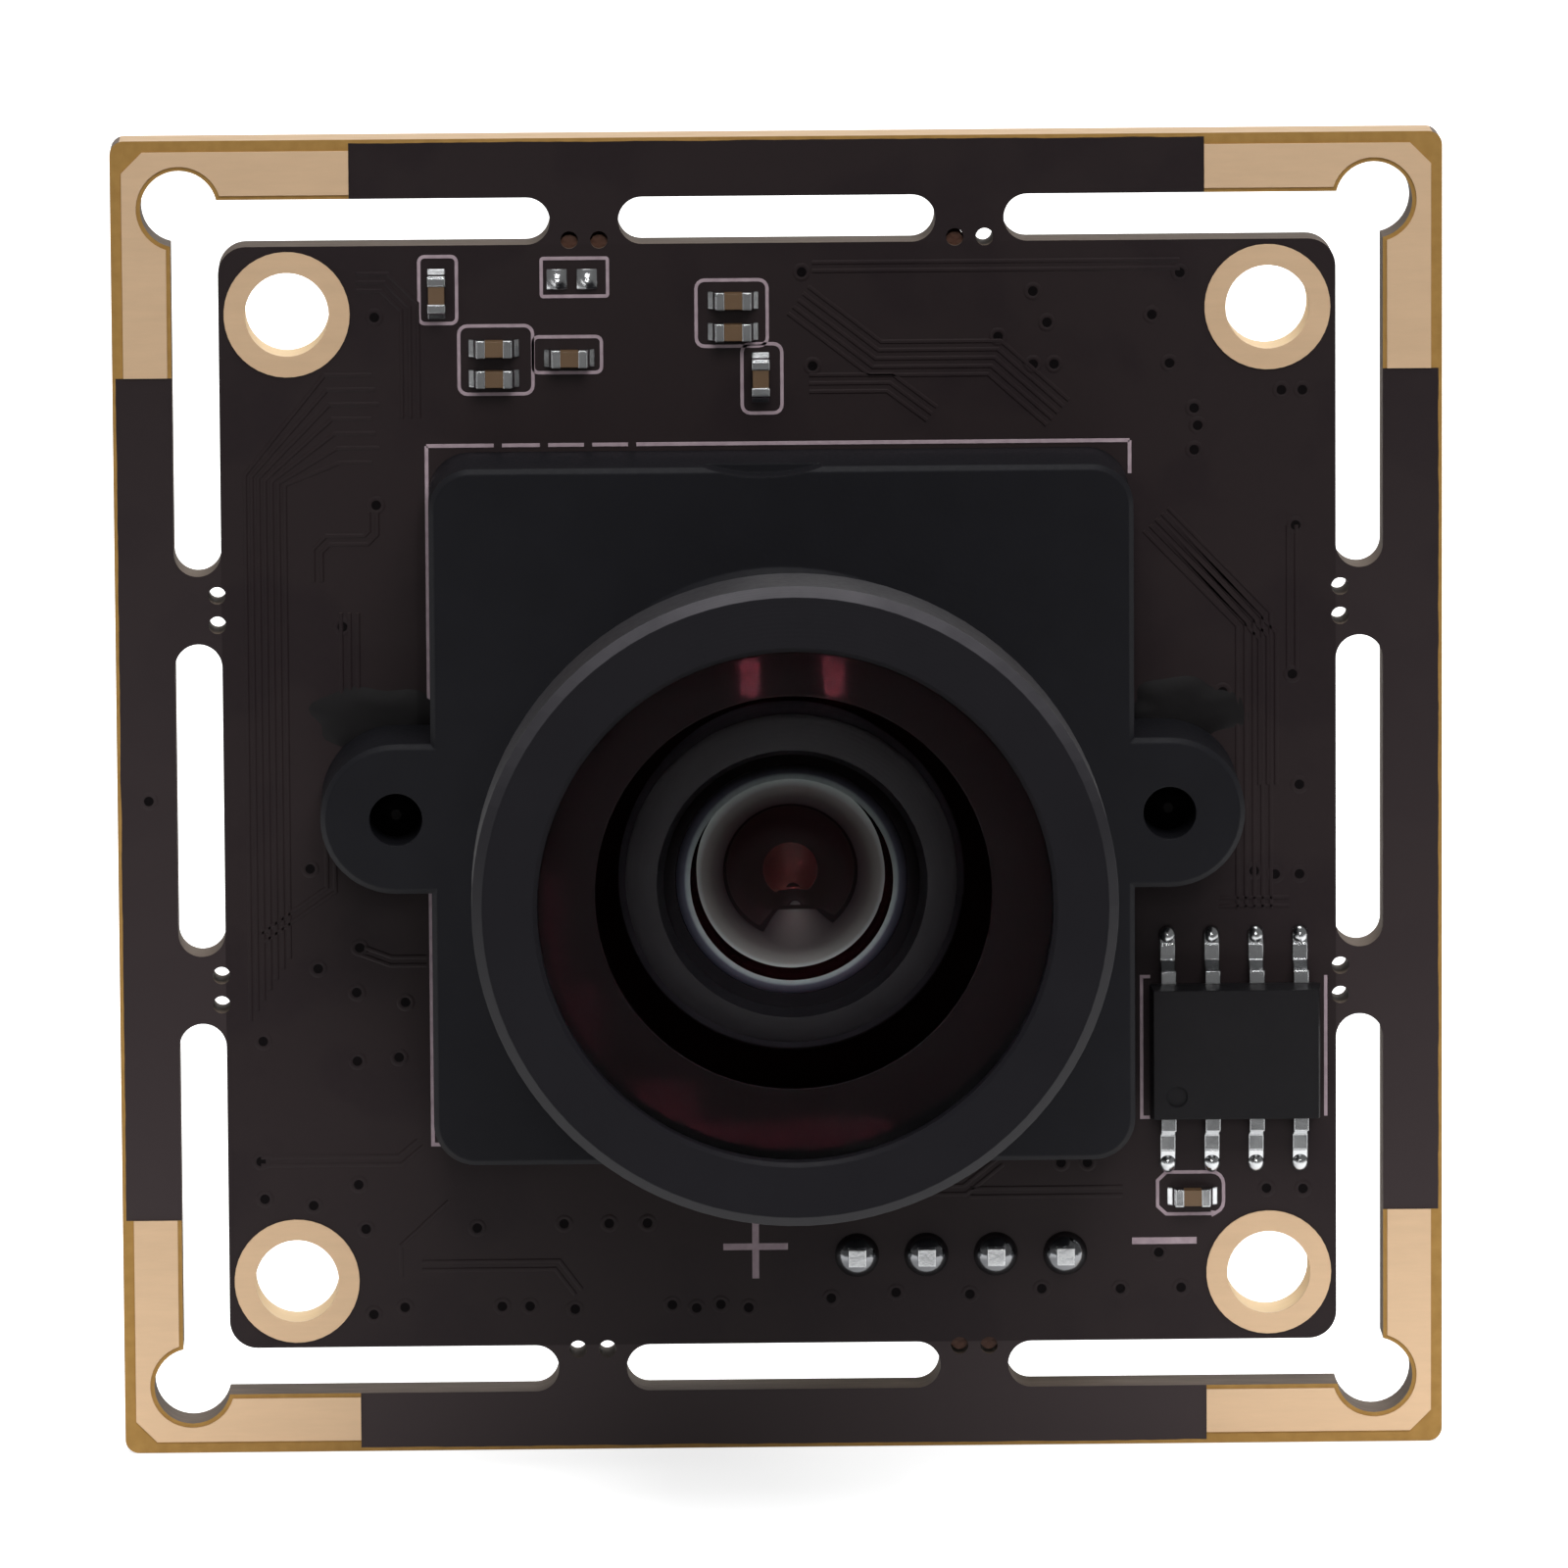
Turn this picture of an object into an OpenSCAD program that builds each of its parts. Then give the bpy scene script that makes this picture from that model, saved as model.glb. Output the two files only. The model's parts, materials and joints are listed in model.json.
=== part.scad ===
// Board camera: a square circuit board with a break-off frame, a moulded lens holder over the
// image sensor, and a screw-in wide-angle lens that turns in the holder's thread to focus.
//
// Every piece is drawn lying flat: X to the right, Y up the board, Z out of its front face.
// stand() turns it upright, so that the lens looks along -Y and the board's top is at +Z.
// The origin is the centre of the mounting holes, on the board's rear face.

/* [Circuit board] */
// Thickness of the board
board_t = 1.6; // [1.2:0.2:2]
// Board that shows on each side of the lens holder, inside the break-off slots
board_margin = 5.95; // [5.2:0.05:8]
// Radius of the break-off frame's outer corners
board_corner_r = 0.4; // [0.2:0.1:1]
// Radius of the inner board's corners
inner_corner_r = 0.8; // [0.3:0.1:1.2]

/* [Break-off frame] */
// Width of the frame's bars
bar_w = 1.7; // [1.5:0.1:3]
// Width of the routed slots
slot_w = 1.35; // [1:0.05:1.6]
// Width of the tabs that hold the inner board
tab_w = 1.95; // [1.6:0.05:2.6]
// Distance between the two tabs on each side
tab_pitch = 11; // [9:0.5:13]
// Diameter of the perforations across a tab
bite_d = 0.5; // [0.3:0.05:0.7]
// Distance between the two perforations of a tab
bite_pitch = 0.85; // [0.75:0.05:1.1]
// Diameter of the open screw holes in the frame's corners
corner_d = 2.2; // [1.8:0.1:2.6]

/* [Mounting holes and gold pads] */
// Diameter of the four mounting holes
hole_d = 2.4; // [2:0.1:2.6]
// Distance from a mounting hole's centre to the inner board's edges
hole_edge = 1.95; // [1.9:0.05:2.4]
// Diameter of the gold ring round a mounting hole
land_d = 3.6; // [3.2:0.1:3.7]
// Thickness of the plated copper
copper_t = 0.05; // [0.03:0.01:0.1]
// Length of each arm of the gold corner pads, from the board's edge
pad_arm = 6.8; // [4:0.2:9]
// Bare strip between a corner pad and the board's edge
pad_inset = 0.32; // [0.2:0.02:0.5]
// Bare strip between a corner pad and the slot
pad_slot_gap = 0.12; // [0.05:0.01:0.2]

/* [Lens holder] */
// Width and height of the holder's square base
holder_w = 20; // [18:0.5:26]
// Height of the holder's base above the board
holder_h = 4; // [3.6:0.2:6]
// Wall of the holder's base
holder_wall = 1.2; // [0.8:0.1:1.6]
// Corner radius of the holder's base
holder_r = 1.2; // [0.8:0.1:2]
// Chamfer round the top of the base, the ears and the neck
holder_chamfer = 0.15; // [0.1:0.05:0.3]
// Distance from the base's side to the centre of a screw ear
ear_out = 1; // [0.8:0.1:2]
// Radius of a screw ear
ear_r = 2.15; // [1.8:0.05:2.6]
// Diameter of the holder screws
screw_d = 1.46; // [1.2:0.02:1.8]
// Depth of the tip of a holder screw below the top of its ear
screw_sink = 1; // [0.6:0.1:1.6]
// Wall of the threaded neck
neck_wall = 0.78; // [0.6:0.02:1.2]
// Height of the neck's top above the board
neck_h = 11.6; // [9:0.2:12.4]

/* [Lens] */
// Diameter of the lens thread
thread_d = 12; // [11:0.5:15]
// Radial running clearance of the lens thread in the neck
thread_clear = 0.02; // [0.01:0.01:0.05]
// Height of the lens's rear end above the board
lens_rear_h = 3.4; // [3.2:0.1:3.8]
// Height of the lens's front face above the neck
lens_front_h = 9.4; // [9:0.2:12.4]
// Diameter of the lens head
head_d = 17.7; // [17.5:0.1:20]
// Length of the front cap that makes up the head
cap_l = 3.1; // [2.8:0.1:3.4]
// Wall of the front cap round the barrel
cap_wall = 0.93; // [0.8:0.01:1.1]
// Thickness of the cap's lip over the glass
lip_t = 0.6; // [0.4:0.05:0.8]
// Diameter of the opening in the cap's lip
opening_d = 14.12; // [13.6:0.02:14.6]
// Air between an element's edge and the barrel
glass_clear = 0.02; // [0.01:0.01:0.05]

/* [Image sensor] */
// Width of the sensor package
sensor_w = 11.2; // [9:0.2:12]
// Height of the sensor package
sensor_l = 9.2; // [8:0.2:10]
// Thickness of the sensor package
sensor_t = 1.4; // [1.2:0.1:1.6]

/* [Header] */
// Number of pins in the cable header
pin_count = 4; // [3:1:5]
// Distance between the header's pins
pin_pitch = 2; // [1.5:0.25:2]
// Side of a square pin
pin_w = 0.5; // [0.4:0.05:0.6]
// Depth of the header's housing behind the board
header_h = 6; // [5:0.5:7]

/* [Memory chip] */
// Length of the chip's body, along its rows of leads
chip_l = 4.9; // [4.5:0.1:5]
// Width of the chip's body
chip_w = 3.9; // [3.5:0.1:4.2]
// Height of the chip's body above the board
chip_h = 1.55; // [1.4:0.05:1.75]
// Distance between its leads
lead_pitch = 1.27; // [1.2:0.01:1.27]
// Distance across the tips of its leads
lead_span = 6; // [5.8:0.1:6.4]

/* [Hidden] */
$fn = 64;
cut = 0.5;                                  // how far a cutting shape runs past what it cuts

// Board and frame, from the holder outwards
inner_w = holder_w + 2 * board_margin;
slot_mid = (inner_w + slot_w) / 2;          // centre line of the slots
slot_out = inner_w / 2 + slot_w;            // outer edge of the slots
board_w = inner_w + 2 * (slot_w + bar_w);
hole_pos = inner_w / 2 - hole_edge;
corner_out = 0.42;                          // from the slots' centre line to a corner hole's
corner_pos = slot_mid + corner_out;
pad_clip = 0.6;                             // cut across a gold pad's outer corner
pin_hole_d = 0.85;                          // plated hole for a header pin
tab_pos = tab_pitch / 2;
slot_end = tab_pos + tab_w / 2;             // where a corner slot stops
mid_slot_l = 2 * (tab_pos - tab_w / 2);     // length of the middle slot on each side
front = board_t;                            // the board's front face

// Lens holder
holder_top = front + holder_h;
holder_roof = 1.2;                          // wall over the sensor
ear_pos = holder_w / 2 + ear_out;
screw_clear = 0.02;                         // radial gap of a screw in its ear
screw_hole_d = 2;                           // clearance hole in the board
screw_head_d = 3;
screw_head_h = 1.1;
screw_recess = 0.55;
bore_r = thread_d / 2 + thread_clear;
neck_r = bore_r + neck_wall;
neck_foot = 0.35;                           // fillet where the neck meets the base
pocket_w = holder_w - 2 * holder_wall;
pocket_r = 0.8;
gate_x = -0.5;                              // the moulding gate's scoop, in the upper side
gate_w = 3.4;
gate_h = 0.9;
gate_depth = 0.28;
screw_point_d = 0.3;
screw_dome = 2.2;                           // radius of the top of a screw's head
recess_l = 1.7;                             // arms of the cross recess
recess_w = 0.36;

// Lens: places along the axis, from the rear to the front
lens_rear = front + lens_rear_h;
lens_front = front + neck_h + lens_front_h;
cap_rear = lens_front - cap_l;
lip_rear = lens_front - lip_t;              // the glass bears on the lip here
flange_l = 2.3;                             // straight rim behind the cap
cone_l = 1.8;                               // cone between the rim and the thread
relief_l = 0.6;                             // turned groove at the thread's end
flange_rear = cap_rear - flange_l;
cone_rear = flange_rear - cone_l;
relief_rear = cone_rear - relief_l;
thread_r = thread_d / 2;
thread_chamfer = 0.25;
relief_r = thread_r - 0.35;
head_r = head_d / 2;
seat_r = head_r - cap_wall;                 // the cap fits over the barrel here
cap_fit = 0.02;
flange_r = head_r - 0.65;
cone_r = thread_r + 0.5;
opening_r = opening_d / 2;
head_chamfer = 0.28;
cap_rear_chamfer = 0.15;
opening_chamfer = 0.12;

// Front element
front_glass_r = opening_r + 0.44;
front_curve = 36;                           // radius of its outer face
front_back_curve = 6.4;                     // radius of its hollow inner face
front_back_r = 5.3;                         // half the width of that hollow
front_mid_t = 1.1;                          // thickness on the axis
front_rim = lip_rear - sag_between(front_curve, front_glass_r, opening_r);
front_vertex = front_rim + sag(front_curve, front_glass_r);
front_back_vertex = front_vertex - front_mid_t;
front_seat = front_back_vertex - sag(front_back_curve, front_back_r);

// Second element and its threaded retaining ring
second_r = 4.7;
second_curve = 9;
second_back_curve = 4.2;
second_back_r = 3.4;
second_mid_t = 0.9;
retainer_r = 5.3;
retainer_bore_r = 4.3;
retainer_t = 0.85;
retainer_front = front_seat - 0.5;
retainer_rear = retainer_front - retainer_t;
second_rim = retainer_rear - sag_between(second_curve, second_r, retainer_bore_r);
second_vertex = second_rim + sag(second_curve, second_r);
second_back_vertex = second_vertex - second_mid_t;
second_seat = second_back_vertex - sag(second_back_curve, second_back_r);

// Rear group, stacked in one bore between the second element's seat and the rear retainer
stack_r = thread_r - 2.1;
third_t = 1.7;                              // edge to edge, without the bulges
third_bulge = 0.758;                        // height of each of its bulges
third_bulge_r = stack_r - 0.5;
third_curve = curve_of(third_bulge_r, third_bulge);
stop_t = 0.15;
stop_r = 1.3;
doublet_front_t = 1.5;
doublet_rear_t = 0.9;
rear_spacer_t = 0.7;
rear_element_t = 1.1;
rear_retainer_t = 0.8;
rear_lip_r = stack_r - 0.6;
retainer_gap = 0.15;                        // the rear retainer sits just inside the rear end
rear_retainer_rear = lens_rear + retainer_gap;
rear_element_rear = rear_retainer_rear + rear_retainer_t;
rear_spacer_rear = rear_element_rear + rear_element_t;
doublet_rear_rear = rear_spacer_rear + rear_spacer_t;
doublet_front_rear = doublet_rear_rear + doublet_rear_t;
stop_rear = doublet_front_rear + doublet_front_t;
third_rear = stop_rear + stop_t;
cone_spacer_rear = third_rear + third_t;
cement_bulge = 1.187;                       // height of the doublet's cemented face
cement_curve = curve_of(stack_r, cement_bulge);
cement_depth = 0.35;                        // how far it dips into the rear glass
cement_at = doublet_front_rear - cement_depth;
cement_land = 0.05;                         // keeps the rear glass's rim from a knife edge
cement_rise = cement_bulge - cement_depth - cement_land;
rear_bulge = 0.463;                         // height of each bulge of the rear element
rear_curve = curve_of(rear_lip_r, rear_bulge);

// Filter, glued to the rear end of the lens
filter_t = 0.3;
filter_r = thread_r - 1.2;
filter_glue = 0.05;
filter_front = lens_rear - filter_glue;

// Sensor
sensor_wall = 0.7;
glass_t = 0.5;
glass_step = 0.35;
die_t = 0.25;
sensor_floor = 0.5;
die_gap_x = 0.6;                            // from the die to the package's side walls
die_gap_y = 0.5;

// Places on the board's front, from the holder's sides and the board's edges
right_side = holder_w / 2;
chip_x = right_side + 3;
chip_y = -right_side + 2.6;
header_x = 5.13;
header_y = -right_side - 3.4;
header_first = header_x - (pin_count - 1) * pin_pitch / 2;

// Memory chip and its leads
mould_draft = 0.12;                         // lean of a moulded package's sides
chip_waist = 0.75;
chip_gap = 0.1;
chip_mark_in = 0.75;                        // the dimple by lead 1, from the chip's sides
chip_mark_r = 0.3;
chip_mark_depth = 0.08;
lead_w = 0.42;
lead_t = 0.2;
lead_foot = 0.65;
lead_drop = 0.15;                           // the leads leave this far below the waist
lead_z = chip_gap + chip_waist - lead_drop;
toe_l = 0.42;                               // solder at a lead's tip
toe_h = 0.05;

// Cable header
header_end = 1.95;                          // from the outer pins to the housing's ends
header_l = (pin_count - 1) * pin_pitch + 2 * header_end;
header_back = 1.7;                          // from the pins to the housing's lower wall
header_front = 2.8;                         // from the pins to its upper wall
header_wall = 0.5;
header_floor = 1.3;
key_w = 1;                                  // two openings in the upper wall
key_in = 2.2;                               // from their centres to the housing's ends
end_slot_y = 1.3;                           // slot in each end, from the lower wall
end_slot_w = 0.9;
end_slot_floor = 3;
pin_end = 1.1;                              // how far the pins stop inside the housing's mouth
pin_out = 0.62;
joint_r = 0.64;
joint_h = 0.5;

// Each front capacitor is [x, y, quarter turns], its place measured up from the holder's top
front_caps = [
    [-9.73, 4.56, 1], [-8.10, 3.00, 0], [-8.10, 2.13, 0], [-5.95, 2.70, 0],
    [-1.26, 4.32, 0], [-1.27, 3.42, 0], [-0.49, 2.09, 1]
];
low_cap = [right_side + 1.8, -right_side - 1.75, 0];
bridge_xs = [-6.29, -5.43];
bridge_y = right_side + 4.96;
bridge_w = 0.58;
bridge_h = 0.16;                            // crown of the solder on a pad
bridge_dome = 0.7;

// Small ceramic parts, 1.0 x 0.5 mm
cap_len = 1;
resistor_h = 0.35;
cap_width = 0.5;
cap_height = 0.5;
cap_end = 0.24;
fillet_l = 0.22;
fillet_h = 0.32;

// Rear side
processor_w = 9;
processor_t = 0.85;
processor_at = [-0.6, 1.6];
contact_l = 0.4;
contact_w = 0.24;
contact_t = 0.12;
contact_pitch = 0.5;
contact_n = 14;
contact_out = 0.1;                          // how far the contacts show past the package
processor_mark_in = 0.9;
processor_mark_r = 0.35;
mark_depth = 0.06;
crystal_at = [-8.6, -4.4];
crystal_l = 3.2;
crystal_w = 2.5;
crystal_base_t = 0.45;
crystal_base_r = 0.2;
crystal_lid_t = 0.25;
crystal_lid_in = 0.15;
crystal_lid_r = 0.3;
inductor_w = 3;
inductor_t = 1.4;
inductor_r = 0.45;
terminal_l = 0.8;
terminal_w = 1.8;
terminal_t = 0.1;
terminal_in = 0.3;                          // from a terminal's centre to the core's side
winding_r = 1.05;                           // shallow round recess over the winding
winding_depth = 0.12;
inductor_at = [[-8.6, 8.9], [-3.9, 9.6]];
regulator_at = [[1.6, 9.4], [5.4, 9.4], [-6, -8.4]];
regulator_l = 2.9;
regulator_w = 1.6;
regulator_t = 1.1;
regulator_gap = 0.08;
regulator_waist = 0.55;
regulator_lead_w = 0.4;
regulator_pitch = 0.95;
rear_caps = [
    [-6.6, 4.6, 1], [-6.6, 2.8, 1], [-6.6, 1.0, 1], [-6.6, -0.8, 1],
    [5.4, 4.6, 1], [5.4, 2.8, 1], [5.4, 1.0, 1], [5.4, -0.8, 1],
    [-3.4, -4.3, 0], [-1.6, -4.3, 0], [0.2, -4.3, 0], [2.0, -4.3, 0],
    [-6.2, 9.0, 1], [-11.2, 8.6, 1], [-1.1, 8.2, 1], [8.3, 9.2, 1],
    [-8.6, -7.0, 0], [-3.2, -8.6, 1]
];
rear_resistors = [
    [7.4, 4.4, 1], [8.3, 4.4, 1], [7.4, 2.6, 1], [8.3, 2.6, 1],
    [-8.6, -2.1, 0], [-8.6, -1.2, 0], [-1.6, -6.0, 0], [0.2, -6.0, 0],
    [2.0, -6.0, 0], [5.2, -8.4, 1], [7.0, -8.4, 1], [-11.4, 5.2, 1]
];

// ---- helpers ----

// Depth of a spherical face of radius curve at a distance r from its axis
function sag(curve, r) = curve - sqrt(curve * curve - r * r);
// Radius of the spherical face that rises by height within a distance r of its axis
function curve_of(r, height) = (r * r + height * height) / (2 * height);
function sag_between(curve, r_out, r_in) = sag(curve, r_out) - sag(curve, r_in);

module stand() {
    rotate([90, 0, 0]) children();
}

// Square or rectangle with round corners, centred
module rounded_rect(w, h, r) {
    square([w - 2 * r, h], center = true);
    square([w, h - 2 * r], center = true);
    for (sx = [-1, 1], sy = [-1, 1])
        translate([sx * (w / 2 - r), sy * (h / 2 - r)]) circle(r);
}

// Slab whose upper edge is chamfered by c, standing on z = 0 along X, from x = 0 to length
module chamfered_bar(length, depth, height, c) {
    d = depth / 2;
    rotate([90, 0, 90]) linear_extrude(length)
        polygon([[-d, 0], [d, 0], [d, height - c], [d - c, height], [c - d, height],
                 [-d, height - c]]);
}

module chamfered_post(r, height, c) {
    cylinder(r = r, h = height - c);
    translate([0, 0, height - c]) cylinder(r1 = r, r2 = r - c, h = c);
}

module tube(r_out, r_in, z0, z1) {
    translate([0, 0, z0]) difference() {
        cylinder(r = r_out, h = z1 - z0);
        translate([0, 0, -cut]) cylinder(r = r_in, h = z1 - z0 + 2 * cut);
    }
}

// Block centred in X and Y whose four sides lean in by draft above and below its waist
module drafted_block(l, w, h, waist, draft) {
    intersection() {
        rotate([90, 0, 0]) translate([0, 0, -w]) linear_extrude(2 * w)
            waisted_section(l, h, waist, draft);
        rotate([90, 0, 90]) translate([0, 0, -l]) linear_extrude(2 * l)
            waisted_section(w, h, waist, draft);
    }
}

module waisted_section(l, h, waist, draft) {
    a = l / 2;
    low = a - draft * waist;
    high = a - draft * (h - waist);
    polygon([[-low, 0], [low, 0], [a, waist], [high, h], [-high, h], [-a, waist]]);
}

// ---- circuit board ----

// One corner's slot: two arms that meet in the open screw hole
module corner_slot() {
    arm = slot_out - slot_end;
    translate([slot_out - arm + slot_w / 2, slot_mid - slot_w / 2])
        square([arm - slot_w / 2, slot_w]);
    translate([slot_mid - slot_w / 2, slot_out - arm + slot_w / 2])
        square([slot_w, arm - slot_w / 2]);
    translate([slot_end + slot_w / 2, slot_mid]) circle(d = slot_w);
    translate([slot_mid, slot_end + slot_w / 2]) circle(d = slot_w);
    translate([corner_pos, corner_pos]) circle(d = corner_d);
}

module middle_slot() {
    translate([0, slot_mid]) {
        square([mid_slot_l - slot_w, slot_w], center = true);
        for (s = [-1, 1]) translate([s * (mid_slot_l - slot_w) / 2, 0]) circle(d = slot_w);
    }
}

module tab_bites() {
    for (tab = [-tab_pos, tab_pos], s = [-1, 1])
        translate([tab + s * bite_pitch / 2, inner_w / 2 + bite_d / 4, -cut])
            cylinder(d = bite_d, h = board_t + 2 * cut);
}

module at_corners(p) {
    for (sx = [-1, 1], sy = [-1, 1]) translate([sx * p, sy * p, 0]) children();
}

module at_ears() {
    for (s = [-1, 1]) translate([s * ear_pos, 0, 0]) children();
}

module at_pins() {
    for (i = [0:pin_count - 1])
        translate([header_first + i * pin_pitch, header_y, 0]) children();
}

// The board and its break-off frame are one piece of laminate. They are drawn as two solids
// that meet at the perforations, where the frame snaps off.
module circuit_board() {
    color([0.17, 0.14, 0.15]) stand() difference() {
        linear_extrude(board_t) rounded_rect(inner_w, inner_w, inner_corner_r);
        for (turn = [0:90:270]) rotate(turn) tab_bites();
        at_corners(hole_pos) translate([0, 0, -cut]) cylinder(d = hole_d, h = board_t + 2 * cut);
        at_ears() translate([0, 0, -cut]) cylinder(d = screw_hole_d, h = board_t + 2 * cut);
        at_pins() translate([0, 0, -cut]) cylinder(d = pin_hole_d, h = board_t + 2 * cut);
    }
}

module break_off_frame() {
    color([0.17, 0.14, 0.15]) stand() difference() {
        linear_extrude(board_t) difference() {
            rounded_rect(board_w, board_w, board_corner_r);
            square(inner_w, center = true);
            for (turn = [0:90:270]) rotate(turn) {
                corner_slot();
                middle_slot();
            }
        }
        for (turn = [0:90:270]) rotate(turn) tab_bites();
    }
}

// Outline of the gold pad in one corner of the frame
module corner_pad() {
    edge = board_w / 2 - pad_inset;
    inside = slot_out + pad_slot_gap;
    reach = board_w / 2 - pad_arm;
    difference() {
        polygon([[reach, inside], [inside, inside], [inside, reach], [edge, reach],
                 [edge, edge - pad_clip], [edge - pad_clip, edge], [reach, edge]]);
        translate([corner_pos, corner_pos]) circle(d = corner_d + 2 * pad_slot_gap);
    }
}

module frame_pads() {
    color([0.83, 0.7, 0.52]) stand()
        for (turn = [0:90:270], z = [-copper_t, front])
            translate([0, 0, z]) rotate(turn) linear_extrude(copper_t) corner_pad();
}

module hole_lands() {
    color([0.83, 0.7, 0.52]) stand()
        for (z = [-copper_t, front])
            at_corners(hole_pos) tube(land_d / 2, hole_d / 2, z, z + copper_t);
}

// ---- lens holder ----

module holder_block() {
    w = holder_w;
    r = holder_r;
    translate([r - w / 2, 0, 0]) chamfered_bar(w - 2 * r, w, holder_h, holder_chamfer);
    rotate(90) translate([r - w / 2, 0, 0]) chamfered_bar(w - 2 * r, w, holder_h, holder_chamfer);
    at_corners(w / 2 - r) chamfered_post(r, holder_h, holder_chamfer);
    at_ears() chamfered_post(ear_r, holder_h, holder_chamfer);
    translate([-ear_pos, 0, 0]) chamfered_bar(2 * ear_pos, 2 * ear_r, holder_h, holder_chamfer);
}

module gate_scoop() {
    half = gate_w / 2;
    scoop_r = (half * half + gate_depth * gate_depth) / (2 * gate_depth);
    translate([gate_x, holder_w / 2 - gate_depth + scoop_r, holder_h - gate_h])
        cylinder(r = scoop_r, h = gate_h + cut);
}

module lens_holder() {
    color([0.12, 0.12, 0.13]) stand() translate([0, 0, front]) difference() {
        union() {
            difference() {
                holder_block();
                gate_scoop();
            }
            translate([0, 0, holder_h - cut])
                chamfered_post(neck_r, neck_h - holder_h + cut, holder_chamfer);
            translate([0, 0, holder_h])
                cylinder(r1 = neck_r + neck_foot, r2 = neck_r, h = neck_foot);
        }
        translate([0, 0, -cut]) linear_extrude(holder_h - holder_roof + cut)
            rounded_rect(pocket_w, pocket_w, pocket_r);
        cylinder(r = bore_r, h = neck_h + cut);
        translate([0, 0, neck_h - holder_chamfer])
            cylinder(r1 = bore_r, r2 = bore_r + holder_chamfer, h = holder_chamfer + 0.001);
        at_ears() translate([0, 0, -cut])
            cylinder(r = screw_d / 2 + screw_clear, h = holder_h + 2 * cut);
    }
}

module holder_screw() {
    tip = holder_top - screw_sink;
    tip_l = screw_d / 2;
    translate([0, 0, -cut / 2]) cylinder(d = screw_d, h = tip - tip_l + cut / 2);
    translate([0, 0, tip - tip_l]) cylinder(d1 = screw_d, d2 = screw_point_d, h = tip_l);
    difference() {
        intersection() {
            translate([0, 0, -screw_head_h]) cylinder(d = screw_head_d, h = screw_head_h);
            translate([0, 0, screw_dome - screw_head_h]) sphere(screw_dome);
        }
        for (turn = [0, 90]) rotate(turn) translate([0, 0, -screw_head_h])
            cube([recess_l, recess_w, 2 * screw_recess], center = true);
    }
}

module holder_screws() {
    color([0.5, 0.5, 0.52]) stand() at_ears() holder_screw();
}

// ---- image sensor ----

module sensor_package() {
    glass_w = sensor_w - 2 * glass_step;
    glass_l = sensor_l - 2 * glass_step;
    color([0.2, 0.2, 0.21]) stand() translate([0, 0, front]) difference() {
        linear_extrude(sensor_t) square([sensor_w, sensor_l], center = true);
        translate([0, 0, sensor_t - glass_t]) linear_extrude(glass_t + cut)
            square([glass_w, glass_l], center = true);
        translate([0, 0, sensor_floor]) linear_extrude(sensor_t)
            square([sensor_w - 2 * sensor_wall, sensor_l - 2 * sensor_wall], center = true);
    }
}

module sensor_die() {
    color([0.3, 0.26, 0.34]) stand() translate([0, 0, front + sensor_floor])
        linear_extrude(die_t)
            square([sensor_w - 2 * (sensor_wall + die_gap_x),
                    sensor_l - 2 * (sensor_wall + die_gap_y)], center = true);
}

module sensor_glass() {
    color([0.8, 0.86, 0.88, 0.4]) stand() translate([0, 0, front + sensor_t - glass_t])
        linear_extrude(glass_t)
            square([sensor_w - 2 * glass_step, sensor_l - 2 * glass_step], center = true);
}

// ---- lens ----

module ir_cut_filter() {
    color([0.55, 0.75, 0.72, 0.5]) stand() translate([0, 0, filter_front - filter_t])
        cylinder(r = filter_r, h = filter_t);
}

// Turned outline of the barrel, from the axis outwards, as [radius, height] pairs
module barrel_outline() {
    bore = stack_r + glass_clear;
    polygon([
        [bore, lens_rear], [thread_r - thread_chamfer, lens_rear],
        [thread_r, lens_rear + thread_chamfer],
        [thread_r, relief_rear], [relief_r, relief_rear], [relief_r, cone_rear],
        [cone_r, cone_rear], [flange_r, flange_rear], [flange_r, cap_rear],
        [seat_r, cap_rear], [seat_r, lip_rear], [front_glass_r + glass_clear, lip_rear],
        [front_glass_r + glass_clear, front_seat], [retainer_r + glass_clear, front_seat],
        [retainer_r + glass_clear, retainer_rear], [second_r + glass_clear, retainer_rear],
        [second_r + glass_clear, second_seat], [bore, second_seat]
    ]);
}

module lens_barrel() {
    color([0.13, 0.13, 0.14]) stand() rotate_extrude() barrel_outline();
}

module front_cap() {
    inside = seat_r + cap_fit;
    color([0.16, 0.16, 0.18]) stand() rotate_extrude()
        polygon([
            [inside, cap_rear], [head_r - cap_rear_chamfer, cap_rear],
            [head_r, cap_rear + cap_rear_chamfer], [head_r, lens_front - head_chamfer],
            [head_r - head_chamfer, lens_front], [opening_r + opening_chamfer, lens_front],
            [opening_r, lens_front - opening_chamfer],
            [opening_r, lip_rear], [inside, lip_rear]
        ]);
}

// Element with a spherical front bulge and a hollow spherical back
module meniscus(r, rim, curve, back_r, back_curve, mid_t, seat) {
    vertex = rim + sag(curve, r);
    difference() {
        intersection() {
            translate([0, 0, seat]) cylinder(r = r, h = vertex - seat + cut);
            translate([0, 0, vertex - curve]) sphere(curve);
        }
        translate([0, 0, vertex - mid_t - back_curve]) sphere(back_curve);
    }
}

module front_element() {
    color([0.75, 0.82, 0.86, 0.35]) stand()
        meniscus(front_glass_r, front_rim, front_curve, front_back_r, front_back_curve,
                 front_mid_t, front_seat);
}

module element_retainer() {
    color([0.1, 0.1, 0.1]) stand()
        tube(retainer_r, retainer_bore_r, retainer_rear, retainer_front);
}

module second_element() {
    color([0.75, 0.82, 0.86, 0.35]) stand()
        meniscus(second_r, second_rim, second_curve, second_back_r, second_back_curve,
                 second_mid_t, second_seat);
}

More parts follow.
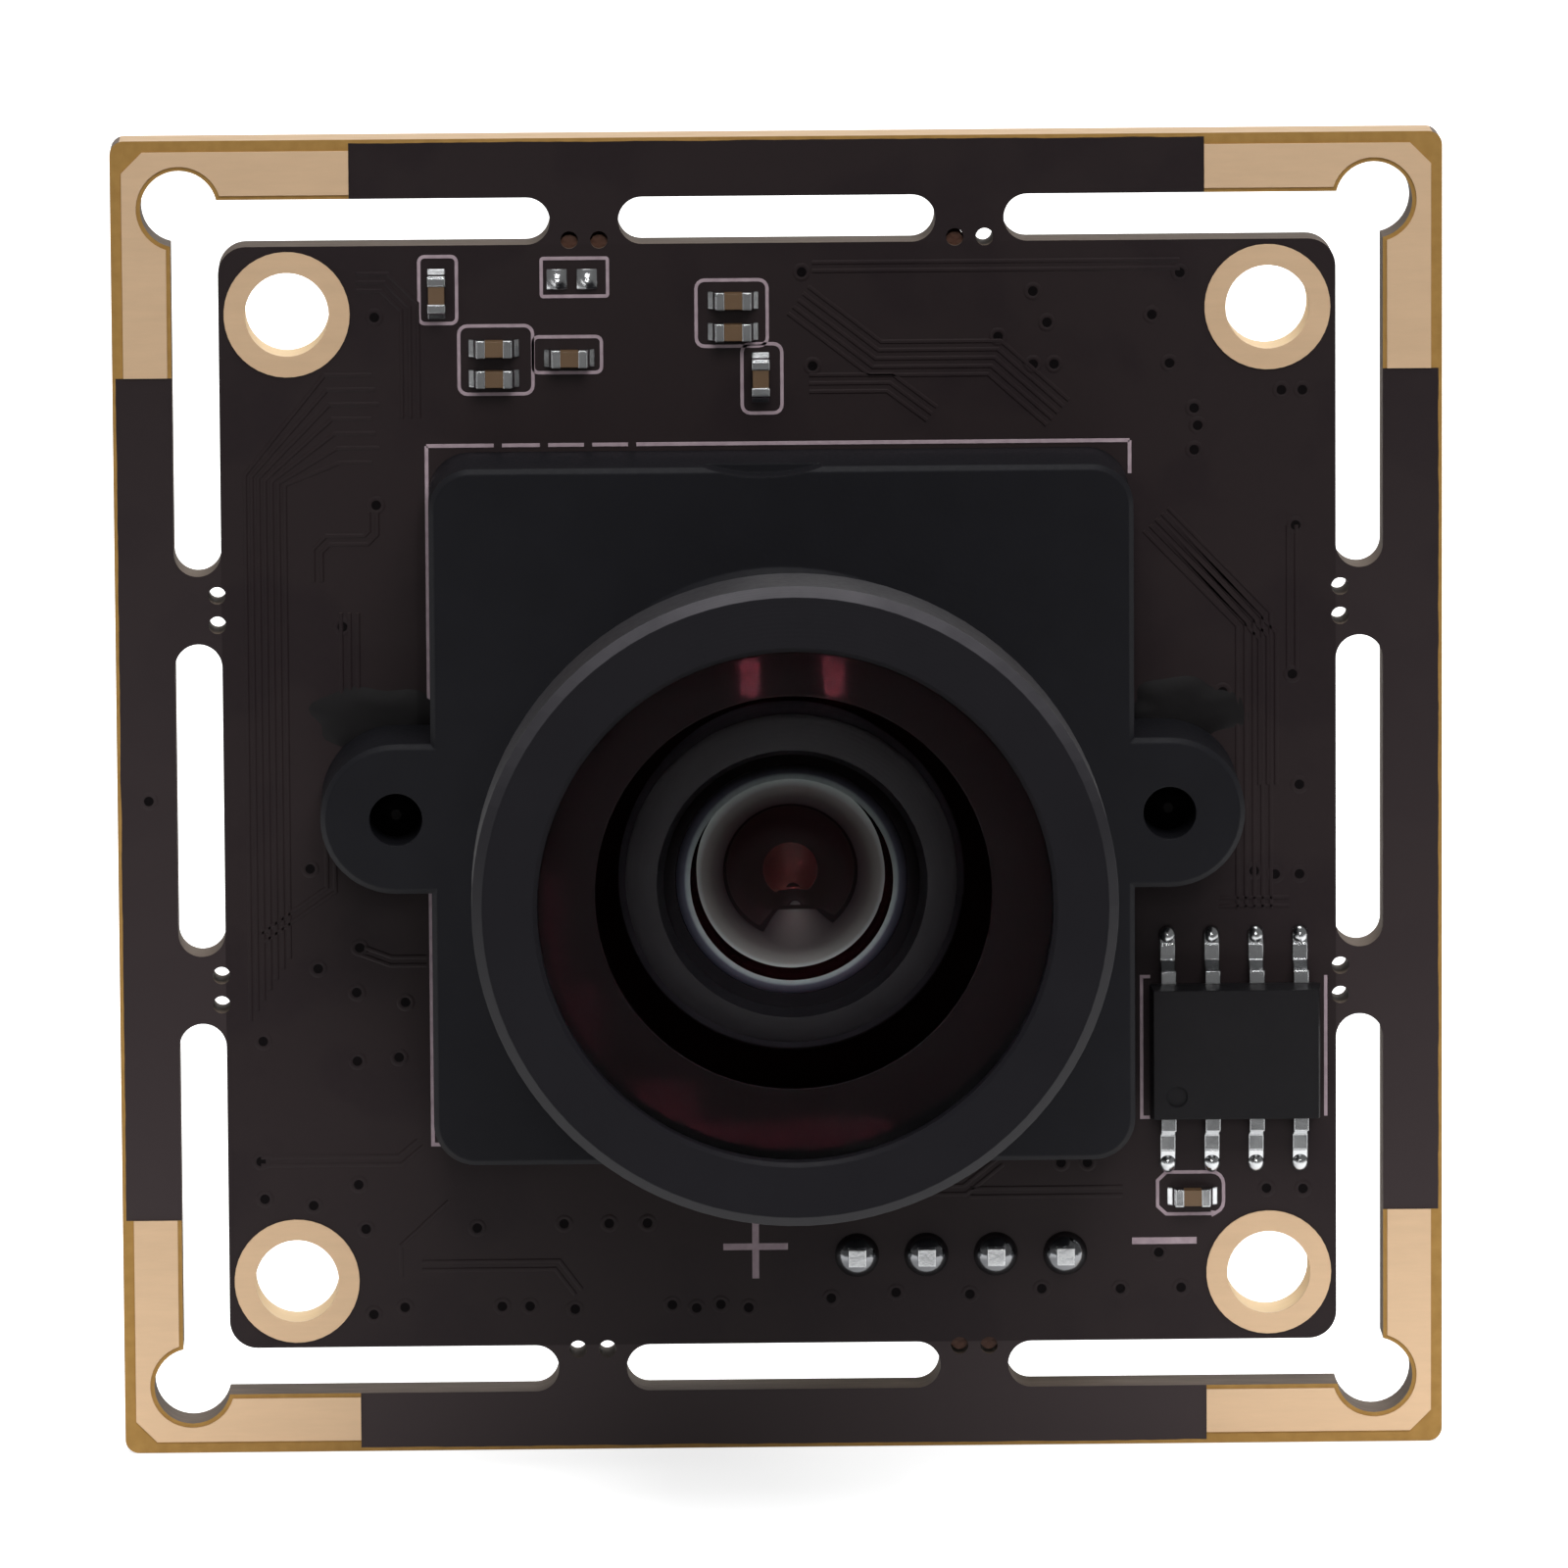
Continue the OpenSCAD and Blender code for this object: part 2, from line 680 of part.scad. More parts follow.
// Spacer whose bore narrows like a cone from the second element down to the third
module cone_spacer() {
    top = second_seat;
    color([0.1, 0.1, 0.1]) stand() rotate_extrude()
        polygon([
            [third_bulge_r, cone_spacer_rear], [stack_r, cone_spacer_rear], [stack_r, top],
            [second_back_r, top]
        ]);
}

// Element with two spherical bulges between z0 and z1, flat outside the radius bulge_r
module biconvex(r, z0, z1, bulge_r, curve) {
    s = sag(curve, bulge_r);
    translate([0, 0, z0]) cylinder(r = r, h = z1 - z0);
    intersection() {
        translate([0, 0, z0 - s]) cylinder(r = bulge_r, h = z1 - z0 + 2 * s);
        translate([0, 0, z1 + s - curve]) sphere(curve);
        translate([0, 0, z0 - s + curve]) sphere(curve);
    }
}

module third_element() {
    color([0.75, 0.82, 0.86, 0.35]) stand() intersection() {
        translate([0, 0, third_rear]) cylinder(r = stack_r, h = 2 * third_t);
        biconvex(stack_r, third_rear, third_rear + third_t, third_bulge_r, third_curve);
    }
}

module aperture_stop() {
    color([0.05, 0.05, 0.05]) stand() tube(stack_r, stop_r, stop_rear, stop_rear + stop_t);
}

// The crown and the flint of the doublet share one cemented spherical face
module doublet_front() {
    color([0.75, 0.82, 0.86, 0.35]) stand() intersection() {
        translate([0, 0, cement_at]) cylinder(r = stack_r, h = stop_rear - cement_at);
        translate([0, 0, cement_at + cement_curve]) sphere(cement_curve);
    }
}

module doublet_rear() {
    color([0.75, 0.82, 0.86, 0.35]) stand() difference() {
        translate([0, 0, doublet_rear_rear])
            cylinder(r = stack_r, h = doublet_front_rear + cement_rise - doublet_rear_rear);
        translate([0, 0, cement_at + cement_curve]) sphere(cement_curve);
    }
}

module rear_spacer() {
    color([0.1, 0.1, 0.1]) stand()
        tube(stack_r, third_bulge_r, rear_spacer_rear, doublet_rear_rear);
}

module rear_element() {
    color([0.75, 0.82, 0.86, 0.35]) stand()
        biconvex(stack_r, rear_element_rear, rear_spacer_rear, rear_lip_r,
                 rear_curve);
}

module rear_retainer() {
    color([0.1, 0.1, 0.1]) stand()
        tube(stack_r, rear_lip_r, rear_retainer_rear, rear_element_rear);
}

// ---- memory chip ----

module at_chip() {
    translate([chip_x, chip_y, front]) children();
}

module flash_body() {
    color([0.11, 0.11, 0.12]) stand() at_chip() translate([0, 0, chip_gap]) difference() {
        drafted_block(chip_l, chip_w, chip_h - chip_gap, chip_waist, mould_draft);
        translate([chip_mark_in - chip_l / 2, chip_mark_in - chip_w / 2,
                   chip_h - chip_gap - chip_mark_depth])
            cylinder(r = chip_mark_r, h = cut);
    }
}

// One gull-wing lead in the Y-Z plane: out of the body's waist, down, and along the board
function lead_path(out) = [
    [chip_w / 2 - 0.05, lead_z], [out - lead_foot - 0.15, lead_z], [out - lead_foot + 0.1, 0],
    [out, 0], [out, lead_t], [out - lead_foot + 0.2, lead_t],
    [out - lead_foot - 0.02, lead_z + lead_t], [chip_w / 2 - 0.05, lead_z + lead_t]
];

module at_leads() {
    for (i = [0:3], side = [0, 180])
        rotate(side) translate([(i - 1.5) * lead_pitch, 0, 0]) children();
}

module flash_leads() {
    color([0.75, 0.76, 0.78]) stand() at_chip() difference() {
        at_leads() rotate([90, 0, 90]) translate([0, 0, -lead_w / 2])
            linear_extrude(lead_w) polygon(lead_path(lead_span / 2));
        translate([0, 0, chip_gap])
            drafted_block(chip_l, chip_w, chip_h - chip_gap, chip_waist, mould_draft);
    }
}

module flash_solder() {
    color([0.8, 0.81, 0.83]) stand() at_chip() at_leads()
        translate([0, lead_span / 2, 0]) rotate([90, 0, 90]) translate([0, 0, -lead_w / 2])
            linear_extrude(lead_w) polygon([[0, 0], [toe_l, 0], [toe_l, toe_h], [0, lead_t]]);
}

// ---- small ceramic parts ----

// Places children at each [x, y, turns] of a list, measured from y0
module at_each(places, y0) {
    for (p = places) translate([p[0], p[1] + y0, 0]) rotate(90 * p[2]) children();
}

module front_capacitor_places() {
    translate([0, 0, front]) {
        at_each(front_caps, right_side) children();
        at_each([low_cap], 0) children();
    }
}

module chip_part_body(h) {
    l = cap_len - 2 * cap_end;
    translate([-l / 2, -cap_width / 2 + 0.02, 0.02]) cube([l, cap_width - 0.04, h - 0.04]);
}

module chip_part_ends(h) {
    for (s = [0, 180]) rotate(s)
        translate([cap_len / 2 - cap_end, -cap_width / 2, 0]) cube([cap_end, cap_width, h]);
}

module capacitor_bodies() {
    color([0.5, 0.38, 0.27]) stand() front_capacitor_places() chip_part_body(cap_height);
}

module capacitor_ends() {
    color([0.78, 0.78, 0.8]) stand() front_capacitor_places() chip_part_ends(cap_height);
}

module capacitor_solder() {
    color([0.8, 0.81, 0.83]) stand() front_capacitor_places() for (s = [0, 180]) rotate(s)
        translate([cap_len / 2, cap_width / 2, 0]) rotate([90, 0, 0]) linear_extrude(cap_width)
            polygon([[0, 0], [fillet_l, 0], [fillet_l, 0.04], [0.08, 0.15], [0, fillet_h]]);
}

module bridge_pads() {
    color([0.8, 0.81, 0.83]) stand() for (x = bridge_xs) translate([x, bridge_y, front])
        intersection() {
            translate([-bridge_w / 2, -bridge_w / 2, 0]) cube([bridge_w, bridge_w, 2 * bridge_h]);
            translate([0, 0, bridge_h - bridge_dome]) sphere(bridge_dome);
        }
}

// ---- cable header ----

module header_housing() {
    depth = header_back + header_front;
    color([0.92, 0.9, 0.85]) stand() translate([header_x, header_y, -header_h]) difference() {
        translate([-header_l / 2, -header_back, 0]) cube([header_l, depth, header_h]);
        translate([header_wall - header_l / 2, header_wall - header_back, -cut])
            cube([header_l - 2 * header_wall, depth - 2 * header_wall,
                  header_h - header_floor + cut]);
        // two keys in the upper wall and a slot in each end
        for (s = [-1, 1])
            translate([s * (header_l / 2 - key_in) - key_w / 2, header_front - 2 * cut, -cut])
                cube([key_w, 4 * cut, header_h - header_floor + cut]);
        translate([-header_l / 2 - cut, end_slot_y - header_back, -cut])
            cube([header_l + 2 * cut, end_slot_w, header_h - end_slot_floor + cut]);
        at_housing_pins() translate([-pin_w / 2, -pin_w / 2, 0])
            cube([pin_w, pin_w, header_h + cut]);
    }
}

module at_housing_pins() {
    for (i = [0:pin_count - 1])
        translate([(i - (pin_count - 1) / 2) * pin_pitch, 0, 0]) children();
}

module header_pins() {
    low = pin_end - header_h;
    high = front + pin_out;
    color([0.8, 0.78, 0.7]) stand() at_pins()
        translate([-pin_w / 2, -pin_w / 2, low]) cube([pin_w, pin_w, high - low]);
}

module header_solder() {
    ball = (joint_r * joint_r + joint_h * joint_h) / (2 * joint_h);
    color([0.8, 0.81, 0.83]) stand() at_pins() difference() {
        intersection() {
            translate([0, 0, front]) cylinder(r = joint_r, h = joint_h);
            translate([0, 0, front + joint_h - ball]) sphere(ball);
        }
        translate([-pin_w / 2, -pin_w / 2, 0]) cube([pin_w, pin_w, front + joint_h + cut]);
    }
}

// ---- rear side: every place is as seen from the front, and every part stands down from z = 0 ----

module behind() {
    mirror([0, 0, 1]) children();
}

module at_processor() {
    translate([processor_at[0], processor_at[1], 0]) children();
}

module image_processor() {
    color([0.1, 0.1, 0.11]) stand() behind() at_processor() difference() {
        translate([0, 0, contact_t]) linear_extrude(processor_t - contact_t)
            square(processor_w, center = true);
        translate([processor_mark_in - processor_w / 2, processor_w / 2 - processor_mark_in,
                   processor_t - mark_depth])
            cylinder(r = processor_mark_r, h = cut);
    }
}

module processor_contacts() {
    color([0.78, 0.78, 0.8]) stand() behind() at_processor()
        for (turn = [0:90:270], i = [0:contact_n - 1]) rotate(turn)
            translate([(i - (contact_n - 1) / 2) * contact_pitch - contact_w / 2,
                       processor_w / 2 - contact_l + contact_out, 0])
                cube([contact_w, contact_l, contact_t]);
}

module at_crystal() {
    translate([crystal_at[0], crystal_at[1], 0]) children();
}

module crystal_case() {
    color([0.35, 0.33, 0.3]) stand() behind() at_crystal() linear_extrude(crystal_base_t)
        rounded_rect(crystal_l, crystal_w, crystal_base_r);
}

module crystal_lid() {
    color([0.78, 0.78, 0.8]) stand() behind() at_crystal() translate([0, 0, crystal_base_t])
        linear_extrude(crystal_lid_t)
            rounded_rect(crystal_l - 2 * crystal_lid_in, crystal_w - 2 * crystal_lid_in,
                         crystal_lid_r);
}

module at_inductors() {
    for (p = inductor_at) translate([p[0], p[1], 0]) children();
}

module inductor_cores() {
    color([0.25, 0.25, 0.26]) stand() behind() at_inductors() difference() {
        translate([0, 0, terminal_t]) linear_extrude(inductor_t - terminal_t)
            rounded_rect(inductor_w, inductor_w, inductor_r);
        translate([0, 0, inductor_t - winding_depth]) cylinder(r = winding_r, h = cut);
    }
}

module inductor_terminals() {
    color([0.78, 0.78, 0.8]) stand() behind() at_inductors() for (s = [-1, 1])
        translate([s * (inductor_w / 2 - terminal_in) - terminal_l / 2, -terminal_w / 2, 0])
            cube([terminal_l, terminal_w, terminal_t]);
}

module at_regulators() {
    for (p = regulator_at) translate([p[0], p[1], 0]) children();
}

module regulator_block() {
    translate([0, 0, regulator_gap])
        drafted_block(regulator_l, regulator_w, regulator_t - regulator_gap, regulator_waist,
                      mould_draft);
}

module regulator_bodies() {
    color([0.12, 0.12, 0.13]) stand() behind() at_regulators() regulator_block();
}

module regulator_lead() {
    y0 = regulator_w / 2 - 0.02;
    rotate([90, 0, 90]) translate([0, 0, -regulator_lead_w / 2]) linear_extrude(regulator_lead_w)
        polygon([[y0, 0.5], [y0 + 0.16, 0.5], [y0 + 0.26, 0], [y0 + 0.62, 0],
                 [y0 + 0.62, 0.13], [y0 + 0.37, 0.13], [y0 + 0.27, 0.63], [y0, 0.63]]);
}

module regulator_leads() {
    color([0.78, 0.78, 0.8]) stand() behind() at_regulators() difference() {
        union() {
            for (i = [-1:1]) translate([i * regulator_pitch, 0, 0]) regulator_lead();
            for (i = [-1, 1]) rotate(180) translate([i * regulator_pitch, 0, 0]) regulator_lead();
        }
        regulator_block();
    }
}

module rear_capacitor_bodies() {
    color([0.5, 0.38, 0.27]) stand() behind() at_each(rear_caps, 0) chip_part_body(cap_height);
}

module rear_capacitor_ends() {
    color([0.78, 0.78, 0.8]) stand() behind() at_each(rear_caps, 0) chip_part_ends(cap_height);
}

module rear_resistor_bodies() {
    color([0.1, 0.1, 0.1]) stand() behind() at_each(rear_resistors, 0) chip_part_body(resistor_h);
}

module rear_resistor_ends() {
    color([0.78, 0.78, 0.8]) stand() behind() at_each(rear_resistors, 0) chip_part_ends(resistor_h);
}

// ---- assembly ----

circuit_board();
break_off_frame();
frame_pads();
hole_lands();
lens_holder();
holder_screws();
sensor_package();
sensor_die();
sensor_glass();
ir_cut_filter();
lens_barrel();
front_cap();
front_element();
element_retainer();
second_element();
cone_spacer();
third_element();
aperture_stop();
doublet_front();
doublet_rear();
rear_spacer();
rear_element();
rear_retainer();
flash_body();
flash_leads();
flash_solder();
capacitor_bodies();
capacitor_ends();
capacitor_solder();
bridge_pads();
header_housing();
header_pins();
header_solder();
image_processor();
processor_contacts();
crystal_case();
crystal_lid();
inductor_cores();
inductor_terminals();
regulator_bodies();
regulator_leads();
rear_capacitor_bodies();
rear_capacitor_ends();
rear_resistor_bodies();
rear_resistor_ends();
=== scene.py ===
"""Looks of the board camera: materials, printed and etched detail, lens thread, light and camera.

Everything is in metres in the part's own frame: X right, Z up, the lens looks along -Y.
Sizes written in millimetres are turned into metres by mm().
"""

import json
import math

import bmesh
import bpy
from mathutils import Matrix, Vector

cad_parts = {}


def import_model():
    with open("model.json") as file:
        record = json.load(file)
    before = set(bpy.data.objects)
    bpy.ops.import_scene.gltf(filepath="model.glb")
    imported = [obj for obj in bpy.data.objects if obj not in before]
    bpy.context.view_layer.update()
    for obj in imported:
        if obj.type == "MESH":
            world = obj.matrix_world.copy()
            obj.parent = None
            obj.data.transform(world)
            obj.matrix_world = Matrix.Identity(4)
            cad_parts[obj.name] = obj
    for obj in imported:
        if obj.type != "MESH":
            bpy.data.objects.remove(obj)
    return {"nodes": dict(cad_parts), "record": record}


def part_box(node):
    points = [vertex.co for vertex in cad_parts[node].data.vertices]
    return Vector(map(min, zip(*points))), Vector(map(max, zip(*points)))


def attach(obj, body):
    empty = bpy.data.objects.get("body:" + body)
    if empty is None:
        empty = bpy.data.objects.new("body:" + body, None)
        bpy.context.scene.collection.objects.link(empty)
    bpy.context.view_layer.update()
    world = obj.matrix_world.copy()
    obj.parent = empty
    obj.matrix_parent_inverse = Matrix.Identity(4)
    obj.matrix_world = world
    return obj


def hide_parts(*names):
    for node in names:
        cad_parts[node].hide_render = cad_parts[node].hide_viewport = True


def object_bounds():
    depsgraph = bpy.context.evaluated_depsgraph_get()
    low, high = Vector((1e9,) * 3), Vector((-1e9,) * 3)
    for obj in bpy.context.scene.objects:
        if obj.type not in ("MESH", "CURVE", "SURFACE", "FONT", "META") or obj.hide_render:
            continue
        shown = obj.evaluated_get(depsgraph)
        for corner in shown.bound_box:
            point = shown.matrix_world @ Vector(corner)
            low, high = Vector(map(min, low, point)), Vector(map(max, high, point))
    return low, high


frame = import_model()
cad_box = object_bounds()


def mm(value):
    return value * 0.001


def linear(r, g, b):
    """A colour given as 0-255 screen values, as the linear RGBA that shaders take."""
    out = []
    for v in (r, g, b):
        v = v / 255
        out.append(v / 12.92 if v <= 0.04045 else ((v + 0.055) / 1.055) ** 2.4)
    return (*out, 1)


# ---- places, from the frame ----

BOARD_LO, BOARD_HI = (Vector(c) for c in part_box("circuit_board"))
OUTER = Vector(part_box("break_off_frame")[1]).x      # half the whole board's width
HOLDER_HALF = Vector(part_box("lens_holder")[1]).z    # half its height; its ears are wider
CHIP_LO, CHIP_HI = (Vector(c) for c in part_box("flash_body"))
TOES_LO, TOES_HI = (Vector(c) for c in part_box("flash_solder"))
LEAD_PITCH = mm(1.27)                   # between the leads of the flash chip
SPACER_LO, SPACER_HI = (Vector(c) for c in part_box("cone_spacer"))
BORE_R = mm(3.4)                        # the spacer's bore
THREAD_R = mm(6.0)                      # the lens barrel's thread, over its crests
LAND_R = mm(1.8)                        # the gold rings round the mounting holes
HOLE_R = mm(1.2)
HOLE_AT = Vector(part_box("hole_lands")[1]).x - LAND_R    # a mounting hole's place, on x and z
TAB_AT, BITE_PITCH = mm(5.5), mm(0.85)  # the frame's tabs, and the two perforations in each
PAD_END = OUTER - mm(6.8)               # where the gold corner pads stop
PAD_IN = Vector(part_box("frame_pads")[1]).x - mm(1.5)
FACE_Y = BOARD_LO.y                     # front face of the board
BACK_Y = BOARD_HI.y                     # its rear face
CAMERA_RISE = 8.4                       # degrees that the camera stands above the lens's axis


# ---- shader helpers ----

class Nodes:
    """A short way to write a material's nodes."""

    def __init__(self, name):
        self.material = bpy.data.materials.new(name)
        self.material.use_nodes = True
        self.tree = self.material.node_tree
        self.tree.nodes.clear()
        self.out = self.tree.nodes.new("ShaderNodeOutputMaterial")

    def add(self, kind, settings=None, **inputs):
        node = self.tree.nodes.new("ShaderNode" + kind)
        for key, value in (settings or {}).items():
            setattr(node, key, value)
        for key, value in inputs.items():
            self.set(node, key.replace("_", " "), value)
        return node

    def set(self, node, key, value):
        socket = node.inputs[int(key)] if key.strip().isdigit() else node.inputs[key]
        if isinstance(value, bpy.types.NodeSocket):
            self.tree.links.new(value, socket)
        else:
            socket.default_value = value

    def place(self):
        """Object coordinates, which are the row frame, in metres."""
        return self.add("TexCoord").outputs["Object"]

    def noise(self, scale, detail=3, stretch=(1, 1, 1), rough=0.5):
        mapped = self.add("Mapping", Vector=self.place(), Scale=stretch)
        node = self.add("TexNoise", Vector=mapped.outputs[0], Scale=scale, Detail=detail,
                        Roughness=rough)
        return node.outputs["Fac"]

    def ramp(self, fac, stops):
        node = self.add("ValToRGB", Fac=fac)
        elements = node.color_ramp.elements
        while len(elements) < len(stops):
            elements.new(0.5)
        for element, (at, colour) in zip(elements, stops):
            element.position = at
            element.color = colour
        return node.outputs["Color"]

    def grey(self, fac, low, high, start=0.0, end=1.0):
        """fac, which runs from start to end, spread over low to high."""
        node = self.add("MapRange", Value=fac, From_Min=start, From_Max=end, To_Min=low,
                        To_Max=high)
        return node.outputs["Result"]

    def mix(self, fac, a, b):
        node = self.add("Mix", {"data_type": "RGBA"})
        self.set(node, "0", fac)
        self.set(node, "6", a)
        self.set(node, "7", b)
        return node.outputs[2]

    def square_sum(self, a, b):
        return self.math("ADD", self.math("MULTIPLY", a, a), self.math("MULTIPLY", b, b))

    def both(self, a, b):
        """1 where two switches are both 1."""
        return self.math("MULTIPLY", a, b)

    def math(self, operation, a, b=0.0):
        node = self.add("Math", {"operation": operation})
        self.set(node, "0", a)
        self.set(node, "1", b)
        return node.outputs[0]

    def xyz(self, vector):
        return self.add("SeparateXYZ", Vector=vector).outputs

    def bump(self, height, strength, distance, normal=None):
        node = self.add("Bump", Height=height, Strength=strength, Distance=distance)
        if normal is not None:
            self.set(node, "Normal", normal)
        return node.outputs["Normal"]

    def rounded(self, radius):
        return self.add("Bevel", {"samples": 4}, Radius=radius).outputs["Normal"]

    def mix_shader(self, fac, a, b):
        node = self.add("MixShader")
        for key, value in (("0", fac), ("1", a.outputs[0]), ("2", b.outputs[0])):
            self.set(node, key, value)
        return node

    def finish(self, shader):
        self.tree.links.new(shader.outputs[0], self.out.inputs["Surface"])
        return self.material

    def surface(self, **inputs):
        return self.finish(self.add("BsdfPrincipled", **inputs))


def speckled(name, dark, light, grain, roughness, bump, metallic=0.0, edge=0.04, spread=0.08,
             mirror=0.5):
    """A fine-grained surface: two tones, a varying roughness, a small bump and broken edges."""
    n = Nodes(name)
    fine = n.noise(grain, 4)
    broad = n.noise(grain / 9, 3)
    colour = n.mix(n.grey(broad, 0.15, 0.85), dark, light)
    rough = n.grey(fine, roughness - spread, roughness + spread)
    normal = n.bump(fine, bump, mm(0.02), n.rounded(mm(edge)))
    return n.surface(Base_Color=colour, Metallic=metallic, Roughness=rough, Normal=normal,
                     Specular_IOR_Level=mirror)


# ---- materials ----

def solder_mask():
    """Dark mask over copper on the faces, bare ochre at the edge, laminate on the sides.

    The mounting holes' walls are plated, and the mask on the frame is lighter low down: painted
    light.
    """
    bare_edge, waver = mm(0.07), mm(0.07)
    outer_skin = mm(0.02)
    plated_r = HOLE_R + mm(0.2)
    n = Nodes("solder_mask")
    place = n.xyz(n.place())
    facing = n.xyz(n.add("NewGeometry").outputs["True Normal"])
    on_face = n.math("GREATER_THAN", n.math("ABSOLUTE", facing[1]), 0.7)
    across, along = n.math("ABSOLUTE", place[0]), n.math("ABSOLUTE", place[2])
    reach = n.math("MAXIMUM", across, along)

    # bare laminate along the outer edge and beside the corner pads
    wander = n.math("MULTIPLY", n.noise(900, 2), waver)
    edge = n.math("GREATER_THAN", n.math("ADD", reach, wander), OUTER - bare_edge)
    by_pad = n.both(n.math("GREATER_THAN", n.math("MINIMUM", across, along), PAD_END),
                    n.math("GREATER_THAN", reach, PAD_IN))
    bare = n.math("MAXIMUM", edge, by_pad)
    ochre = n.mix(n.noise(2600, 3), linear(146, 110, 56), linear(176, 138, 78))

    # mask over the copper's pour
    copper = n.ramp(n.noise(260, 2), [(0.42, linear(33, 26, 28)), (0.5, linear(37, 30, 31))])
    fine = n.noise(5200, 3)
    mask = n.mix(n.grey(fine, 0, 0.35), copper, linear(46, 37, 38))
    # painted light: the mask on the frame is lighter towards the bottom
    frame_painted_light = n.both(n.grey(place[2], 0, 1, OUTER, -OUTER),
                      n.math("GREATER_THAN", reach, BOARD_HI.x))
    mask = n.mix(frame_painted_light, mask, linear(58, 50, 51))

    # sides: sawn outside, routed in the slots, plated in the mounting holes
    layers = n.noise(900, 3, stretch=(1, 6, 1))
    sawn = n.mix(layers, linear(170, 142, 110), linear(206, 180, 150))
    routed = n.mix(layers, linear(84, 74, 66), linear(124, 110, 98))
    laminate = n.mix(n.math("GREATER_THAN", reach, OUTER - outer_skin), routed, sawn)
    from_hole = n.square_sum(n.math("SUBTRACT", across, HOLE_AT),
                             n.math("SUBTRACT", along, HOLE_AT))
    plating = n.mix(layers, linear(226, 202, 164), linear(240, 220, 186))
    laminate = n.mix(n.math("LESS_THAN", from_hole, plated_r ** 2), laminate, plating)

    colour = n.mix(on_face, laminate, n.mix(bare, mask, ochre))
    rough = n.math("ADD", n.math("MULTIPLY", on_face, -0.32), n.grey(fine, 0.74, 0.84))
    normal = n.bump(n.noise(2400, 2), 0.12, mm(0.02))
    return n.surface(Base_Color=colour, Roughness=rough, Normal=normal,
                     Specular_IOR_Level=0.14)


def brushed_gold():
    """Brushed gold, whose tone drifts across the board with position: painted light."""
    n = Nodes("brushed_gold")
    streaks = n.noise(3000, 5, stretch=(0.14, 1, 1), rough=0.65)
    place = n.xyz(n.place())
    # painted light: a gradient of the gold's tone across the board, with x and z
    painted_light_slope = n.math("ADD", n.math("MULTIPLY", place[0], 0.6), place[2])
    shift = n.math("ADD", n.math("MULTIPLY", painted_light_slope, 0.25 / OUTER),
                   n.math("MULTIPLY", streaks, 1.1))
    colour = n.ramp(shift, [(0.1, linear(209, 177, 142)), (1.0, linear(225, 191, 154))])
    rough = n.grey(streaks, 0.36, 0.52)
    normal = n.bump(streaks, 0.16, mm(0.01), n.rounded(mm(0.02)))
    return n.surface(Base_Color=colour, Metallic=0.35, Roughness=rough, Normal=normal)


def turned_metal(name, dark, light, roughness, zones=None, bore=None, wear_and_highlight=None):
    """Blackened metal with the fine rings that turning leaves round the lens's axis.

    zones are (radius in mm, screen colour) steps of painted light and shade, which colour it by
    radius instead, bore is (share of its depth, screen colour) steps of painted light and shade
    for the spacer's wall, and the last is the colour of the head's chamfers: partly edge wear,
    mostly a painted highlight where they face up.
    """
    rings_per_metre = 52000.0
    painted_rim_depth = mm(0.3)                 # how far down the spacer its painted highlight rim reaches
    head_r = mm(8.3)                    # inside the head's outer chamfers
    n = Nodes(name)
    place = n.xyz(n.place())
    radius = n.math("SQRT", n.square_sum(place[0], place[2]))
    rings = n.math("SINE", n.math("MULTIPLY", n.math("ADD", radius, place[1]), rings_per_metre))
    fine = n.noise(4200, 4)
    height = n.math("ADD", n.math("MULTIPLY", rings, 0.25), fine)
    colour = n.mix(n.grey(n.noise(500, 3), 0.1, 0.9), dark, light)
    facing = n.xyz(n.add("NewGeometry").outputs["True Normal"])
    lean = n.math("ABSOLUTE", facing[1])
    # painted light and shade: the inner rings are coloured by radius, and the spacer's painted
    # highlight rim stops a little below its mouth
    if zones:
        widest = 8.0
        share = n.math("DIVIDE", radius, mm(widest))
        by_radius = n.ramp(share, [(r / widest, linear(*tone)) for r, tone in zones])
        colour = n.mix(n.grey(fine, 0.0, 0.3), by_radius, dark)
        deep = n.both(n.math("GREATER_THAN", place[1], SPACER_LO.y + painted_rim_depth),
                      n.math("GREATER_THAN", radius, BORE_R - mm(0.15)))
        colour = n.mix(deep, colour, light)
    # painted light and shade: the spacer's wall is lighter at its mouth and darker deeper in
    if bore:
        depth = n.math("DIVIDE", n.math("SUBTRACT", place[1], SPACER_LO.y),
                       SPACER_HI.y - SPACER_LO.y)
        wall = n.both(n.math("LESS_THAN", lean, 0.5),
                      n.math("LESS_THAN", radius, BORE_R + mm(0.05)))
        colour = n.mix(wall, colour, n.ramp(depth, [(at, linear(*tone)) for at, tone in bore]))
    if wear_and_highlight:
        # partly edge wear, mostly painted highlight: the head's chamfers are lighter where they
        # face up, broken up by noise
        tilted = n.both(n.math("GREATER_THAN", lean, 0.4), n.math("LESS_THAN", lean, 0.93))
        painted_highlight_up = n.grey(facing[2], 0.1, 1.0, 0.2, 0.7)
        highlight_and_wear_share = n.math("MULTIPLY", painted_highlight_up, n.grey(n.noise(900, 4), 0.45, 1.1))
        on_head = n.both(tilted, n.math("GREATER_THAN", radius, head_r))
        colour = n.mix(n.math("MULTIPLY", on_head, highlight_and_wear_share), colour, wear_and_highlight)
    rough = n.grey(fine, roughness - 0.07, roughness + 0.09)
    normal = n.bump(height, 0.14, mm(0.012), n.rounded(mm(0.05)))
    return n.surface(Base_Color=colour, Roughness=rough, Normal=normal,
                     Specular_IOR_Level=0.12)


